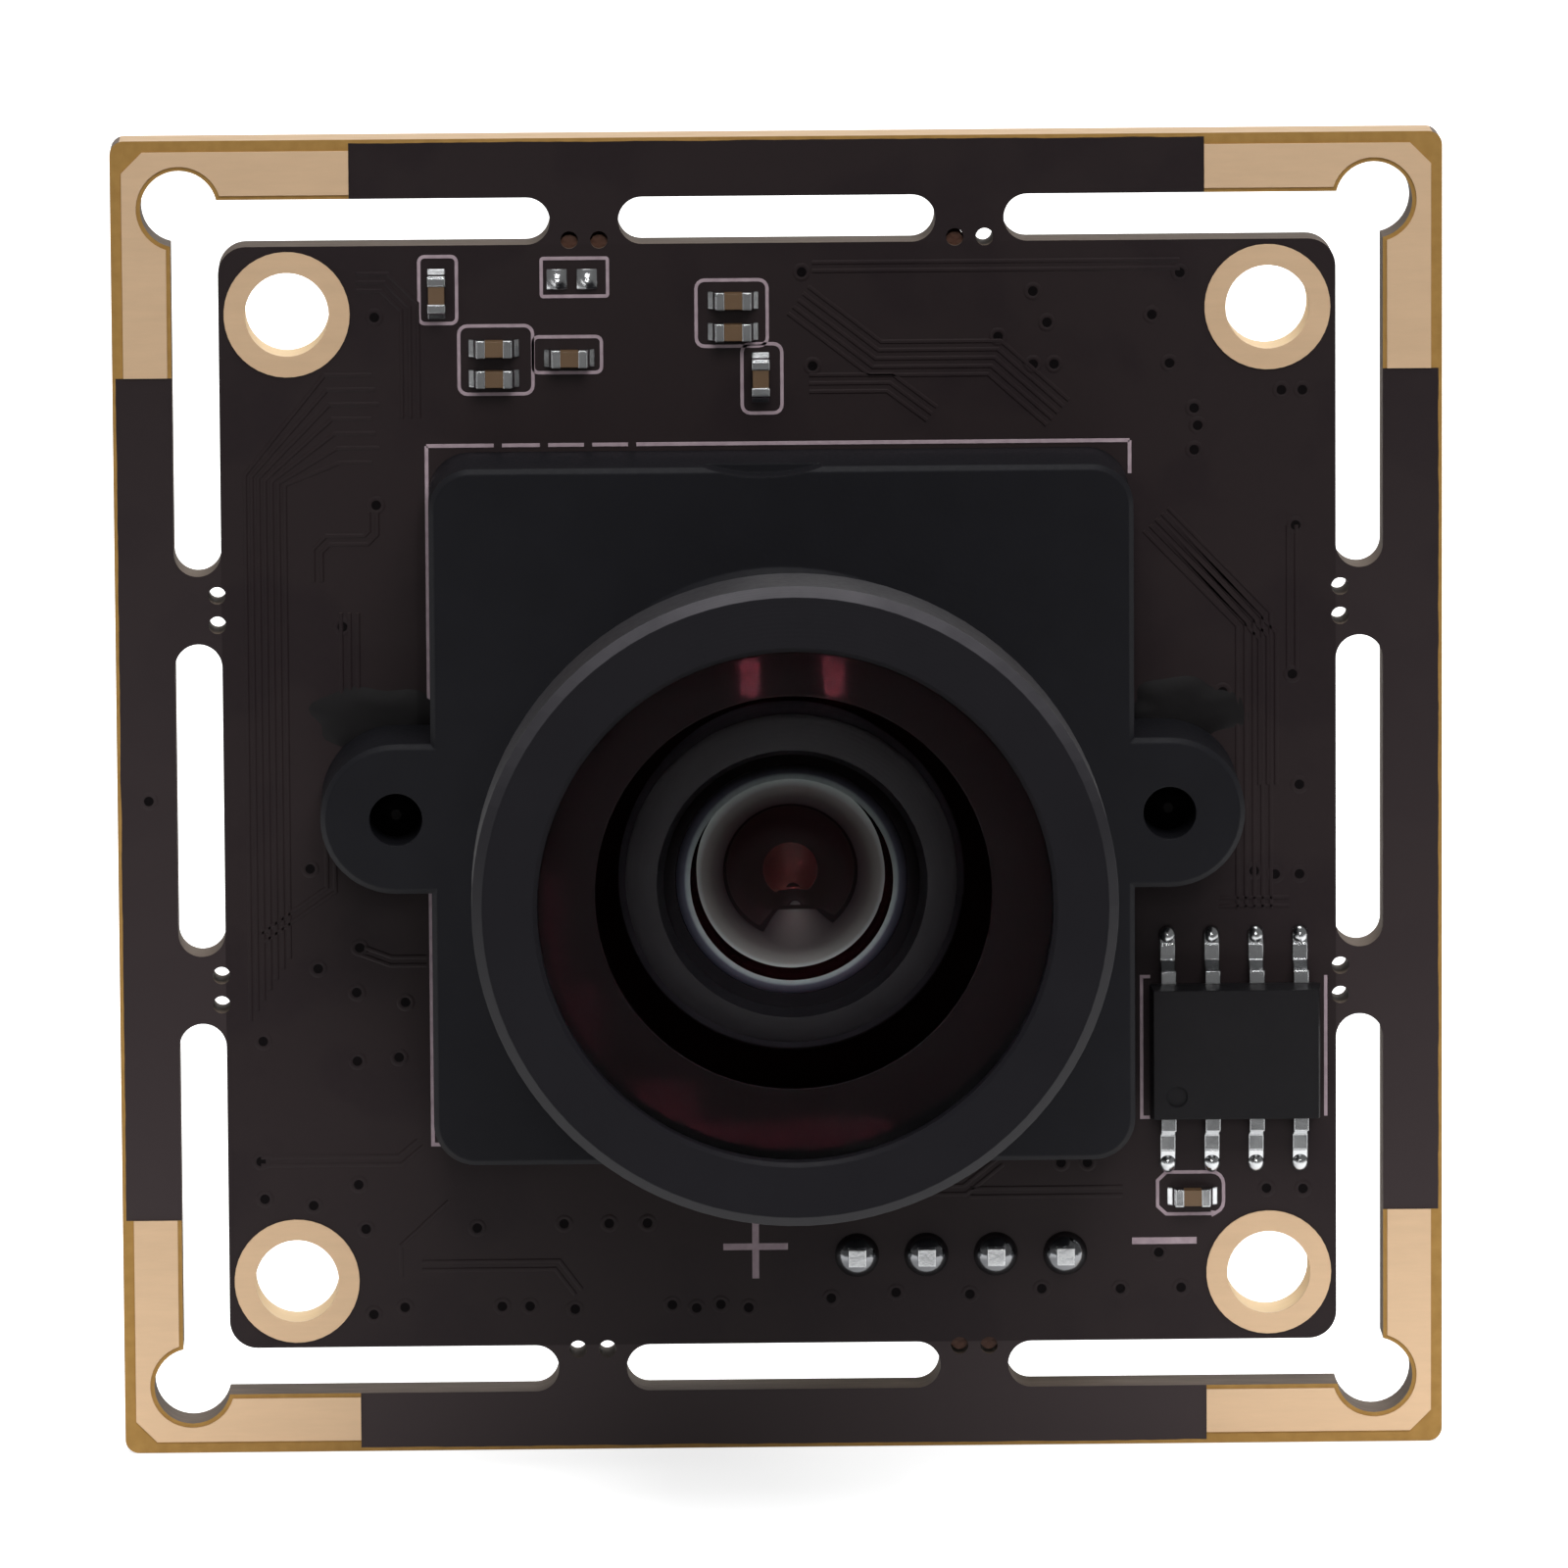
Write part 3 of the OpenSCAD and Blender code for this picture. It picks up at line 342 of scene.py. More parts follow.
def coated_glass(name, tint, ior, strength, blur=0.02):
    """Clear glass that reflects only its coating's hue, and that lets the lamps' light in."""
    n = Nodes(name)
    bent = n.add("BsdfRefraction", Color=(0.98, 0.98, 0.98, 1), Roughness=0.0, IOR=ior)
    coat = n.add("BsdfGlossy", Color=tint, Roughness=blur)
    mirror = n.math("MULTIPLY", n.add("Fresnel", IOR=1.6).outputs[0], strength)
    smear = n.grey(n.noise(700, 2), 0.85, 1.0)
    glass = n.mix_shader(n.math("MULTIPLY", mirror, smear), bent, coat)
    clear = n.add("BsdfTransparent", Color=(0.96, 0.96, 0.96, 1))
    return n.finish(n.mix_shader(n.add("LightPath").outputs["Is Shadow Ray"], glass, clear))


def ink():
    n = Nodes("legend_ink")
    wear_and_highlight = n.noise(3800, 3)
    colour = n.mix(wear_and_highlight, linear(138, 120, 128), linear(184, 166, 174))
    return n.surface(Base_Color=colour, Roughness=n.grey(wear_and_highlight, 0.5, 0.7),
                     Normal=n.bump(wear_and_highlight, 0.2, mm(0.01)), Specular_IOR_Level=0.3)


def via_hole_shade():
    n = Nodes("via_hole_shade")
    # painted shade: a dark disc for the shade inside a plated hole
    fine = n.noise(6000, 2)
    return n.surface(Base_Color=n.mix(fine, linear(10, 8, 9), linear(18, 15, 16)),
                     Roughness=n.grey(fine, 0.6, 0.8), Normal=n.bump(fine, 0.2, mm(0.01)),
                     Specular_IOR_Level=0.05)


# Painted light and shade on the lens's inner rings, seen through the glass, with a painted
# highlight rim on the spacer: tones by radius in mm, from the aperture's edge outwards
INNER_PAINTED_LIGHT = [(1.3, (30, 30, 29)), (2.2, (46, 44, 44)), (3.2, (66, 64, 64)),
               (3.36, (128, 130, 130)), (3.41, (190, 200, 200)), (3.54, (176, 186, 190)),
               (3.62, (96, 98, 114)), (3.85, (46, 47, 60)), (4.25, (12, 12, 18)),
               (4.32, (26, 25, 27)), (5.3, (18, 17, 19))]
# Painted light and shade on the spacer's wall, lighter at its mouth and darker deeper in: tones by
# share of its depth
BORE_PAINTED_LIGHT = [(0.0, (180, 188, 188)), (0.1, (138, 138, 136)), (0.45, (104, 100, 100)),
              (1.0, (74, 70, 74))]


def screw_steel():
    """Plated screws, bright at the head behind the board, and rougher at the end inside the
    holder, where they are painted dark as shade.
    """
    n = Nodes("screw_steel")
    fine = n.noise(3000, 4)
    # painted shade: the screw's end inside the holder is darker
    inside = n.math("LESS_THAN", n.xyz(n.place())[1], FACE_Y)
    bright = n.mix(fine, (0.4, 0.4, 0.41, 1), (0.52, 0.52, 0.53, 1))
    colour = n.mix(inside, bright, linear(26, 25, 25))
    rough = n.math("ADD", n.grey(fine, 0.26, 0.42), n.math("MULTIPLY", inside, 0.3))
    return n.surface(Base_Color=colour, Metallic=1.0, Roughness=rough,
                     Normal=n.bump(fine, 0.1, mm(0.02), n.rounded(mm(0.04))))


MATERIALS = {
    "board": solder_mask(),
    "gold": brushed_gold(),
    "holder_plastic": speckled("holder_plastic", linear(20, 20, 23), linear(27, 27, 31), 7000,
                               0.5, 0.2, edge=0.08, mirror=0.12),
    "screw_steel": screw_steel(),
    "sensor_ceramic": speckled("sensor_ceramic", (0.05, 0.05, 0.055, 1), (0.08, 0.08, 0.085, 1),
                               5000, 0.6, 0.2),
    "silicon": speckled("silicon", (0.05, 0.03, 0.08, 1), (0.08, 0.06, 0.11, 1), 9000, 0.18,
                        0.05),
    "cover_glass": coated_glass("cover_glass", (0.5, 0.55, 0.6, 1), 1.5, 0.6),
    "filter_glass": coated_glass("filter_glass", (0.9, 0.1, 0.12, 1), 1.5, 6.0),
    "lens_black": turned_metal("lens_black", linear(26, 25, 29), linear(32, 31, 35), 0.42,
                               wear_and_highlight=linear(80, 78, 82)),
    "lens_glass": coated_glass("lens_glass", (0.6, 0.12, 0.17, 1), 1.42, 0.075, blur=0.05),
    "lens_inner": turned_metal("lens_inner", linear(24, 24, 27), linear(34, 34, 38), 0.55,
                               zones=INNER_PAINTED_LIGHT, bore=BORE_PAINTED_LIGHT),
    "chip_plastic": speckled("chip_plastic", linear(20, 19, 21), linear(27, 26, 28), 6500,
                             0.58, 0.3, edge=0.06, mirror=0.15),
    "tin": speckled("tin", (0.42, 0.43, 0.44, 1), (0.66, 0.67, 0.68, 1), 2600, 0.2, 0.3,
                    metallic=1.0, edge=0.06),
    "capacitor_ceramic": speckled("capacitor_ceramic", linear(88, 66, 46),
                                  linear(112, 88, 62), 5200, 0.42, 0.14),
    "resistor_ceramic": speckled("resistor_ceramic", linear(28, 28, 31), linear(38, 38, 41),
                                 5200, 0.3, 0.1),
    "ferrite": speckled("ferrite", linear(60, 60, 63), linear(76, 76, 78), 5200, 0.66, 0.3),
    "housing_nylon": speckled("housing_nylon", linear(222, 216, 200), linear(236, 231, 218),
                              3600, 0.48, 0.12, edge=0.1),
}
GLUE = speckled("black_glue", linear(13, 12, 13), linear(22, 20, 21), 2500, 0.45, 0.4, mirror=0.2)
INK = ink()
RESIN = speckled("torn_resin", linear(52, 34, 28), linear(88, 58, 44), 3000, 0.75, 0.8)
VIA = via_hole_shade()
SECOND_GLASS = coated_glass("second_glass", (0.8, 0.66, 0.64, 1), 1.3, 0.02, blur=0.05)
DEEP_GLASS = coated_glass("deep_glass", (0.4, 0.6, 0.5, 1), 1.35, 0.04, blur=0.05)
RED_GLASS = coated_glass("red_coated_glass", (0.95, 0.1, 0.12, 1), 1.35, 0.25, blur=0.08)
BLACKENED = speckled("blackened_edge", linear(6, 6, 7), linear(10, 10, 11), 7000, 0.7, 0.2,
                     mirror=0.05)
JOINT_TIN = speckled("joint_tin", (0.12, 0.12, 0.13, 1), (0.3, 0.31, 0.32, 1), 2200, 0.14, 0.4,
                     metallic=1.0)
OWN_FINISH = {"header_solder": JOINT_TIN, "second_element": SECOND_GLASS,
              "third_element": DEEP_GLASS, "doublet_front": RED_GLASS,
              "doublet_rear": DEEP_GLASS, "rear_element": DEEP_GLASS}

for part in frame["record"]["subparts"]:
    mesh = frame["nodes"][part["node"]].data
    mesh.materials.clear()
    mesh.materials.append(OWN_FINISH.get(part["node"], MATERIALS[part["material_slot"]]))


# ---- mesh pieces ----

def finish_piece(name, bm, material, body="module", smooth=False):
    mesh = bpy.data.meshes.new(name)
    bmesh.ops.recalc_face_normals(bm, faces=bm.faces)
    bm.to_mesh(mesh)
    bm.free()
    mesh.materials.append(material)
    for polygon in mesh.polygons:
        polygon.use_smooth = smooth
    obj = bpy.data.objects.new(name, mesh)
    bpy.context.scene.collection.objects.link(obj)
    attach(obj, body)
    return obj


def loop(bm, x, z, rx, rz, y, steps, swell=None, rise=None):
    """A closed loop of points round (x, z), with its place and radii in mm and y in metres.

    swell(angle) is a factor on the radii, and rise(angle) is added to y.
    """
    points = []
    for i in range(steps):
        a = 2 * math.pi * i / steps
        grow = swell(a) if swell else 1
        lift = rise(a) if rise else 0
        points.append(bm.verts.new((mm(x + rx * grow * math.cos(a)), y + lift,
                                    mm(z + rz * grow * math.sin(a)))))
    return points


def bands(bm, loops):
    """The faces between each loop and the next."""
    for a, b in zip(loops, loops[1:]):
        for i in range(len(a)):
            j = (i + 1) % len(a)
            bm.faces.new((a[i], a[j], b[j], b[i]))


def fan(bm, middle, rim):
    """The faces from a middle point to a loop."""
    for i in range(len(rim)):
        bm.faces.new((middle, rim[i], rim[(i + 1) % len(rim)]))


def ribbon(bm, points, width, height, top=1.0, closed=False, face=FACE_Y, out=-1):
    """A low ridge of trapezoid section along points (x, z) in millimetres, on a board face.

    top is its upper side's share of the width, and out the way it stands from the face.
    """
    y0, y1 = face, face + out * mm(height)
    pts = [Vector(p) for p in points]
    count = len(pts)
    rings = []
    for i, p in enumerate(pts):
        before = pts[(i - 1) % count] if closed or i > 0 else None
        after = pts[(i + 1) % count] if closed or i < count - 1 else None
        d1 = (p - before).normalized() if before is not None else (after - p).normalized()
        d2 = (after - p).normalized() if after is not None else d1
        side = Vector((-(d1 + d2).y, (d1 + d2).x)).normalized()
        stretch = 1 / max(0.5, side.dot(Vector((-d1.y, d1.x))))
        ring = []
        for offset, y in ((-0.5, y0), (-0.5 * top, y1), (0.5 * top, y1), (0.5, y0)):
            q = p + side * offset * width * stretch
            ring.append(bm.verts.new((mm(q.x), y, mm(q.y))))
        rings.append(ring)
    for i in range(count if closed else count - 1):
        a, b = rings[i], rings[(i + 1) % count]
        for k in range(3):
            bm.faces.new((a[k], a[k + 1], b[k + 1], b[k]))
    if not closed:
        bm.faces.new(rings[0])
        bm.faces.new(rings[-1][::-1])


def arc(cx, cz, r, start, end, steps=8):
    return [(cx + r * math.cos(math.radians(start + (end - start) * i / steps)),
             cz + r * math.sin(math.radians(start + (end - start) * i / steps)))
            for i in range(steps + 1)]


def round_box(x0, z0, x1, z1, r=0.16):
    """Outline of a box with rounded corners."""
    return [*arc(x1 - r, z1 - r, r, 0, 90, 4), *arc(x0 + r, z1 - r, r, 90, 180, 4),
            *arc(x0 + r, z0 + r, r, 180, 270, 4), *arc(x1 - r, z0 + r, r, 270, 360, 4)]


def outline_of(node):
    """The closed profile (radius, y) of a turned node: its mesh edges in the half plane z = 0."""
    mesh = frame["nodes"][node].data
    near = mm(0.002)
    at = {v.index: (round(v.co.x, 6), round(v.co.y, 6)) for v in mesh.vertices
          if v.co.x > near and abs(v.co.z) < near}
    beside = {}
    for edge in mesh.edges:
        a, b = (at.get(i) for i in edge.vertices)
        if a and b and a != b:
            beside.setdefault(a, set()).add(b)
            beside.setdefault(b, set()).add(a)
    path = [min(at.values())]
    while True:
        onward = sorted(beside[path[-1]] - set(path))
        if not onward:
            return path
        path.append(onward[0])


def threaded_barrel():
    """The CAD barrel turned again from its own profile, with a real screw thread cut in."""
    pitch, depth, run_out = mm(0.5), mm(0.27), mm(0.35)
    crest, flank = 0.125, 0.3125        # half a crest's and one flank's share of the pitch
    around, per_turn = 72, 10
    glass_edge = Vector(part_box("front_element")[1]).x + mm(0.03)
    ring_face = Vector(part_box("element_retainer")[0]).y
    profile = outline_of("lens_barrel")

    def thread_length(i):
        here, last = profile[i], profile[i - 1]
        return abs(here[1] - last[1]) if here[0] == last[0] == THREAD_R else 0

    threaded = max(range(len(profile)), key=thread_length)
    ends = sorted((profile[threaded][1], profile[threaded - 1][1]))
    outline = []                        # (radius, y, whether the thread is cut here)
    for i, (r, y) in enumerate(profile):
        if i == threaded:
            last = profile[i - 1]
            steps = round(abs(y - last[1]) / pitch * per_turn)
            outline += [(r, last[1] + (y - last[1]) * k / steps, True) for k in range(1, steps)]
        outline.append((r, y, False))

    def cut(y, angle):
        turn = (-y / pitch - angle / (2 * math.pi)) % 1
        height = min(max((abs(turn - 0.5) - crest) / flank, 0), 1)
        fade = min(1, (y - ends[0]) / run_out, (ends[1] - y) / run_out)
        return depth * (1 - height) * fade

    bm = bmesh.new()
    rings = []
    for k in range(around):
        angle = 2 * math.pi * k / around
        ring = []
        for r, y, thread in outline:
            here = r - cut(y, angle) if thread else r
            ring.append(bm.verts.new((here * math.cos(angle), y, here * math.sin(angle))))
        rings.append(ring)
    for k in range(around):
        a, b = rings[k], rings[(k + 1) % around]
        for i, point in enumerate(outline):
            j = (i + 1) % len(outline)
            face = bm.faces.new((a[i], a[j], b[j], b[i]))
            inside = (max(point[0], outline[j][0]) < glass_edge
                      and max(point[1], outline[j][1]) < ring_face)
            face.material_index = 1 if inside else 0
    piece = finish_piece("threaded_barrel", bm, MATERIALS["lens_black"], "lens", True)
    piece.data.materials.append(BLACKENED)
    piece.data.set_sharp_from_angle(angle=math.radians(28))
    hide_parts("lens_barrel")


INK_T = 0.015                           # thickness and widths of the printed lines, in mm
LEGEND_W = 0.1
HOLDER_LINE_W = 0.11
SIGN_W = 0.2


def component_outlines():
    """Printed outlines round the front's small parts, the chip and the lens holder."""
    bm = bmesh.new()

    def line(points, closed=False, width=LEGEND_W):
        ribbon(bm, points, width, INK_T, 0.9, closed)

    line(round_box(-6.73, 14.46, -4.84, 15.55, 0.06), True)
    line(round_box(-10.22, 13.71, -9.15, 15.63), True)
    line(round_box(-9.1, 11.67, -6.99, 13.63, 0.24), True)
    line(round_box(-6.98, 12.27, -5.03, 13.3), True)
    line(round_box(-2.32, 12.99, -0.29, 14.89, 0.24), True)
    line(round_box(-1.02, 11.06, 0.12, 13.05, 0.24), True)
    line([(11.05, -12.28), (12.35, -12.28), *arc(12.35, -11.93, 0.35, -90, 0, 4),
          *arc(12.35, -11.41, 0.35, 0, 90, 4), (11.05, -11.06), (10.8, -11.3),
          (10.8, -12.05)], True)
    chip = [CHIP_LO.x * 1000 - 0.2, CHIP_HI.x * 1000 + 0.2]
    low, high = CHIP_LO.z * 1000, CHIP_HI.z * 1000
    line([(chip[0] + 0.25, high + 0.1), (chip[0], high + 0.1), (chip[0], low - 0.1),
          (chip[0] + 0.25, low - 0.1)])
    line([(chip[1], high + 0.1), (chip[1], low - 0.1)])
    side = HOLDER_HALF * 1000 + 0.05
    top, ear, half_gap = side + 0.14, 2.4, 0.12
    start = -side
    for gap in (-8.01, -6.69, -5.43, -4.17):
        line([(start, top), (gap - half_gap, top)], width=HOLDER_LINE_W)
        start = gap + half_gap
    for points in ([(start, top), (side, top)], [(side, top), (side, top - 0.95)],
                   [(-side, top), (-side, ear)],
                   [(-side, -ear), (-side, -side), (-side + 0.35, -side)]):
        line(points, width=HOLDER_LINE_W)
    return finish_piece("component_outlines", bm, INK)


def polarity_marks():
    """The plus and minus signs beside the header's joints."""
    bm = bmesh.new()
    arm = 0.93
    plus, minus = Vector((-0.79, -13.12)), Vector((10.99, -13.06))
    across, upright = Vector((arm, 0)), Vector((0, arm))
    for centre, reach, height in ((plus, across, INK_T), (plus, upright, 1.2 * INK_T),
                                  (minus, across, INK_T)):
        ribbon(bm, [centre - reach, centre + reach], SIGN_W, height, 0.9)
    return finish_piece("polarity_marks", bm, INK)


def glue_patches():
    """Black adhesive that has crept out round the holder's ears."""
    bm = bmesh.new()
    for cx, cz, rx, rz, phase in ((-11.5, 2.3, 1.9, 1.0, 0.4), (11.6, 2.4, 1.7, 0.9, 2.1)):

        def ragged(a):
            return 1 + 0.1 * math.sin(3 * a + phase) + 0.06 * math.sin(7 * a + 2 * phase)

        loops = [loop(bm, cx, cz, rx * share, rz * share, FACE_Y - mm(height), 40, ragged)
                 for share, height in ((1.0, 0.002), (0.86, 0.035), (0.5, 0.06))]
        bands(bm, loops)
        bm.faces.new(loops[-1])
    return finish_piece("glue_patches", bm, GLUE, smooth=True)


def perforation_fill():
    """Brown resin left in the perforations that the drill did not clear."""
    radius, sunk, steps = 0.26, mm(0.16), 14
    edge = BOARD_HI.z * 1000
    near, far = ((TAB_AT + side * BITE_PITCH / 2) * 1000 for side in (-1, 1))
    bm = bmesh.new()
    for x, z in ((-far, edge), (-near, edge), (near, edge), (near, -edge), (far, -edge)):

        def rough(a):
            return mm(0.03) * math.sin(5 * a + 7 * x)

        for y, out in ((FACE_Y + sunk, -1), (BACK_Y - sunk, 1)):
            middle = bm.verts.new((mm(x), y - out * mm(0.05), mm(z)))
            loops = [loop(bm, x, z, radius * share, radius * share, y + out * mm(lift), steps,
                          rise=lambda a: out * rough(a))
                     for share, lift in ((0.5, 0.03), (1.0, 0.0))]
            fan(bm, middle, loops[0])
            bands(bm, loops)
    return finish_piece("perforation_fill", bm, RESIN, smooth=True)


def lead_fillets():
    """Round ends of solder at the toes of the flash chip's leads."""
    half_w, half_l, height = 0.26, 0.3, mm(0.24)
    around, rise = 18, 5
    middle = (CHIP_LO.x + CHIP_HI.x) / 2
    bm = bmesh.new()
    for z in (TOES_LO.z + mm(0.05), TOES_HI.z - mm(0.18)):
        for k in (-1.5, -0.5, 0.5, 1.5):
            x = middle + k * LEAD_PITCH
            loops = []
            for j in range(rise):
                tilt = math.pi / 2 * j / rise
                loops.append(loop(bm, x * 1000, z * 1000, half_w * math.cos(tilt),
                                  half_l * math.cos(tilt), FACE_Y - height * math.sin(tilt),
                                  around))
            bands(bm, loops)
            fan(bm, bm.verts.new((x, FACE_Y - height, z)), loops[-1])
    return finish_piece("lead_fillets", bm, MATERIALS["tin"], smooth=True)


def offset_path(points, shift):
    """The same route moved sideways by shift, its corners kept parallel."""
    pts = [Vector(p) for p in points]
    out = []
    for i, p in enumerate(pts):
        d1 = (p - pts[i - 1]).normalized() if i else (pts[1] - p).normalized()
        d2 = (pts[i + 1] - p).normalized() if i < len(pts) - 1 else d1
        side = Vector((-(d1 + d2).y, (d1 + d2).x)).normalized()
        out.append(tuple(p + side * shift / max(0.5, side.dot(Vector((-d1.y, d1.x))))))
    return out


# Each bus is (route, number of tracks), in millimetres on the board's face. The fan is seven
# tracks that rise beside the left slot and turn in towards the upper left capacitors.
FAN = [([(-15.25 + 0.19 * k, -6.4 + 0.3 * k), (-15.25 + 0.19 * k, 9.4 - 0.05 * k),
         (-12.95 + 0.07 * k, 12.25 - 0.42 * k), (-11.6 + 0.1 * (k % 3), 12.25 - 0.42 * k)], 1)
       for k in range(7)]
FRONT_BUSES = [
    *FAN,
    ([(-13.2, 6.3), (-13.2, 7.2), (-12.9, 7.5), (-11.8, 7.5), (-11.6, 7.7), (-11.6, 8.3)], 2),
    ([(-12.3, 5.4), (-12.3, 3.0)], 3),
    ([(-12.0, 14.9), (-11.2, 14.9), (-10.5, 14.2), (-10.5, 11.0)], 3),
    ([(0.6, 14.3), (2.8, 12.6), (6.2, 12.6), (8.0, 11.0)], 5),
    ([(1.0, 15.25), (11.5, 15.25)], 2),
    ([(10.8, 7.9), (13.6, 5.0), (13.6, -3.4)], 5),
    ([(14.7, 7.7), (14.7, 3.5)], 2),
    ([(-15.0, -10.5), (-11.0, -10.5), (-10.4, -10.0)], 2),
    ([(-9.6, -11.7), (-11.0, -13.0), (-11.0, -13.9)], 1),
    ([(-10.4, -13.6), (-6.5, -13.6), (-5.9, -14.4)], 2),
    ([(-12.0, -4.4), (-11.2, -4.7), (-10.2, -4.7)], 2),
    ([(3.2, -11.4), (5.2, -11.4), (6.2, -10.6)], 3),
    ([(5.4, -11.6), (9.8, -11.6)], 2),
    ([(10.9, 7.9), (14.0, 4.5), (14.0, 0.2)], 3),
    ([(-14.9, -4.0), (-12.9, -2.6), (-12.9, -0.6), (-11.9, 0.2)], 2),
    ([(0.9, 11.9), (3.2, 11.9), (4.4, 11.0)], 3),
    ([(12.6, -3.2), (14.6, -3.2)], 2),
]
FRONT_VIAS = [
    (7.3, 14.5), (7.7, 13.6), (6.3, 13.2), (10.7, 13.8), (11.2, 12.4), (7.3, 12.4), (7.9, 12.4),
    (1.0, 12.4), (11.9, 11.1), (12.0, 10.6), (11.9, 9.9), (14.8, 7.7), (14.7, 3.4), (12.7, 2.9),
    (11.5, 15.0), (0.7, 15.1), (-18.1, 0.0), (-13.5, -2.0), (-12.1, -4.3), (-13.3, -4.9),
    (-12.2, -5.6), (-10.8, -5.9), (-14.9, -7.0), (-12.2, -7.6), (-11.0, -7.5), (-12.2, -11.2),
    (-14.9, -11.6), (-8.8, -12.5), (-6.3, -12.4), (-5.0, -12.4), (-3.9, -12.4), (-10.9, -14.8),
    (-8.1, -14.8), (-7.3, -14.8), (-6.0, -14.9), (-3.2, -14.8), (-2.5, -14.9), (-1.8, -14.8),
    (-1.0, -14.9), (-15.0, -10.5), (1.38, -14.65), (3.25, -14.5), (5.38, -14.57), (7.45, -14.43),
    (9.72, -14.45), (11.47, -14.43), (8.02, -10.75), (8.78, -10.75), (13.94, -11.55),
    (14.99, -11.57), (10.83, -13.4), (14.4, 11.6), (15.0, 11.6), (-13.5, -11.8), (-12.0, -12.5),
    (-11.8, -15.0), (-12.5, 5.0), (-11.5, 8.5), (-11.5, 13.9), (13.6, -2.3), (14.2, -2.4),
    (14.9, -2.4), (14.9, 0.2),
]
REAR_BUSES = [
    ([(-12.4, 11.9), (-12.4, 4.0), (-10.6, 2.2), (-6.0, 2.2)], 4),
    ([(4.4, 2.0), (9.4, 2.0), (11.6, -0.2), (11.6, -10.8)], 5),
    ([(-2.4, 13.6), (-2.4, 11.6), (0.2, 11.6)], 3),
    ([(-12.8, -6.0), (-12.8, -10.0), (-9.6, -13.2), (-2.6, -13.2)], 3),
]
REAR_VIAS = [(-13.4, 6.6), (-13.4, 4.9), (-9.0, 13.6), (-4.8, 13.8), (3.2, 13.9), (8.9, 13.4),
             (13.1, 8.2), (13.1, 5.6), (13.3, -4.4), (9.4, -6.2), (-5.0, -11.2), (-8.0, -10.4)]


def tracks(name, buses, face, out):
    """Etched tracks, as low ridges under the mask."""
    bm = bmesh.new()
    pitch, width, height = 0.24, 0.14, 0.022
    for route, count in buses:
        for i in range(count):
            path = offset_path(route, (i - (count - 1) / 2) * pitch)
            ribbon(bm, path, width, height, 0.45, face=face, out=out)
    return finish_piece(name, bm, MATERIALS["board"])


def via_rings(name, places, face, out):
    """A low raised ring round each plated hole."""
    section = ((0.27, 0), (0.23, 0.014), (0.17, 0.014), (0.13, 0.002))    # radius, height
    bm = bmesh.new()
    for x, z in places:
        bands(bm, [loop(bm, x, z, r, r, face + out * mm(h), 20) for r, h in section])
    return finish_piece(name, bm, MATERIALS["board"], smooth=True)


def via_holes(name, places, face, out):
    """The middle of each plated hole, as a dark disc: painted shade of the hole."""
    radius = 0.14
    bm = bmesh.new()
    for x, z in places:
        middle = bm.verts.new((mm(x), face + out * mm(0.001), mm(z)))
        fan(bm, middle, loop(bm, x, z, radius, radius, face + out * mm(0.008), 16))
    return finish_piece(name, bm, VIA, smooth=True)


threaded_barrel()
component_outlines()
polarity_marks()
glue_patches()
perforation_fill()
lead_fillets()
for build, front, rear in ((tracks, FRONT_BUSES, REAR_BUSES), (via_rings, FRONT_VIAS, REAR_VIAS),
                           (via_holes, FRONT_VIAS, REAR_VIAS)):
    build("front_" + build.__name__, front, FACE_Y, -1)
    build("rear_" + build.__name__, rear, BACK_Y, 1)


# ---- floor, light and camera ----

def floor():
    """A white floor that keeps the object's shadow. It ends short of the lens's view."""
    n = Nodes("floor")
    matte = n.add("BsdfDiffuse", Color=n.mix(n.noise(3, 2), (0.86, 0.86, 0.86, 1),
                                             (0.9, 0.9, 0.9, 1)))
    glow = n.add("Emission", Color=(1, 1, 1, 1), Strength=0.74)
    path = n.add("LightPath").outputs
    seen = n.math("MAXIMUM", path["Is Camera Ray"],
                  n.math("MAXIMUM", path["Is Glossy Ray"], path["Is Transmission Ray"]))
    lit = n.add("AddShader")
    n.set(lit, "0", matte.outputs[0])
    n.set(lit, "1", glow.outputs[0])
    n.finish(n.mix_shader(seen, matte, lit))
    bm = bmesh.new()
    front, back, half = -0.032, 2.0, 1.5
    bm.faces.new([bm.verts.new(c) for c in ((-half, front, 0), (half, front, 0),
                                            (half, back, 0), (-half, back, 0))])
    mesh = bpy.data.meshes.new("floor")
    bm.to_mesh(mesh)
    bm.free()
    mesh.materials.append(n.material)
    obj = bpy.data.objects.new("floor", mesh)
    obj.location.z = cad_box[0][2] - mm(0.02)
    bpy.context.scene.collection.objects.link(obj)


def world():
    """White to camera and transmission rays, and behind the object. Dim in front of it, as a
    studio is, to the rays that light the object and to those that it mirrors."""
    w = bpy.data.worlds.new("studio")
    w.use_nodes = True
    tree = w.node_tree
    tree.nodes.clear()

    def add(kind, *links, **settings):
        node = tree.nodes.new("ShaderNode" + kind)
        for key, value in settings.items():
            setattr(node, key, value)
        for index, socket in enumerate(links):
            tree.links.new(socket, node.inputs[index])
        return node

    where = add("TexCoord")
    split = add("SeparateXYZ", where.outputs["Generated"])
    behind = add("MapRange", split.outputs["Y"], interpolation_type="SMOOTHSTEP")
    for key, value in (("From Min", -0.2), ("From Max", 0.6), ("To Min", 0.19), ("To Max", 1.0)):
        behind.inputs[key].default_value = value
    path = add("LightPath").outputs
    seen = add("Math", path["Is Camera Ray"], path["Is Transmission Ray"], operation="MAXIMUM")
    strength = add("Mix", seen.outputs[0])
    tree.links.new(behind.outputs["Result"], strength.inputs[2])
    strength.inputs[3].default_value = 1.0
    back = add("Background")
    back.inputs["Color"].default_value = (1, 1, 1, 1)
    tree.links.new(strength.outputs[0], back.inputs["Strength"])
    add("OutputWorld", back.outputs[0])
    bpy.context.scene.world = w


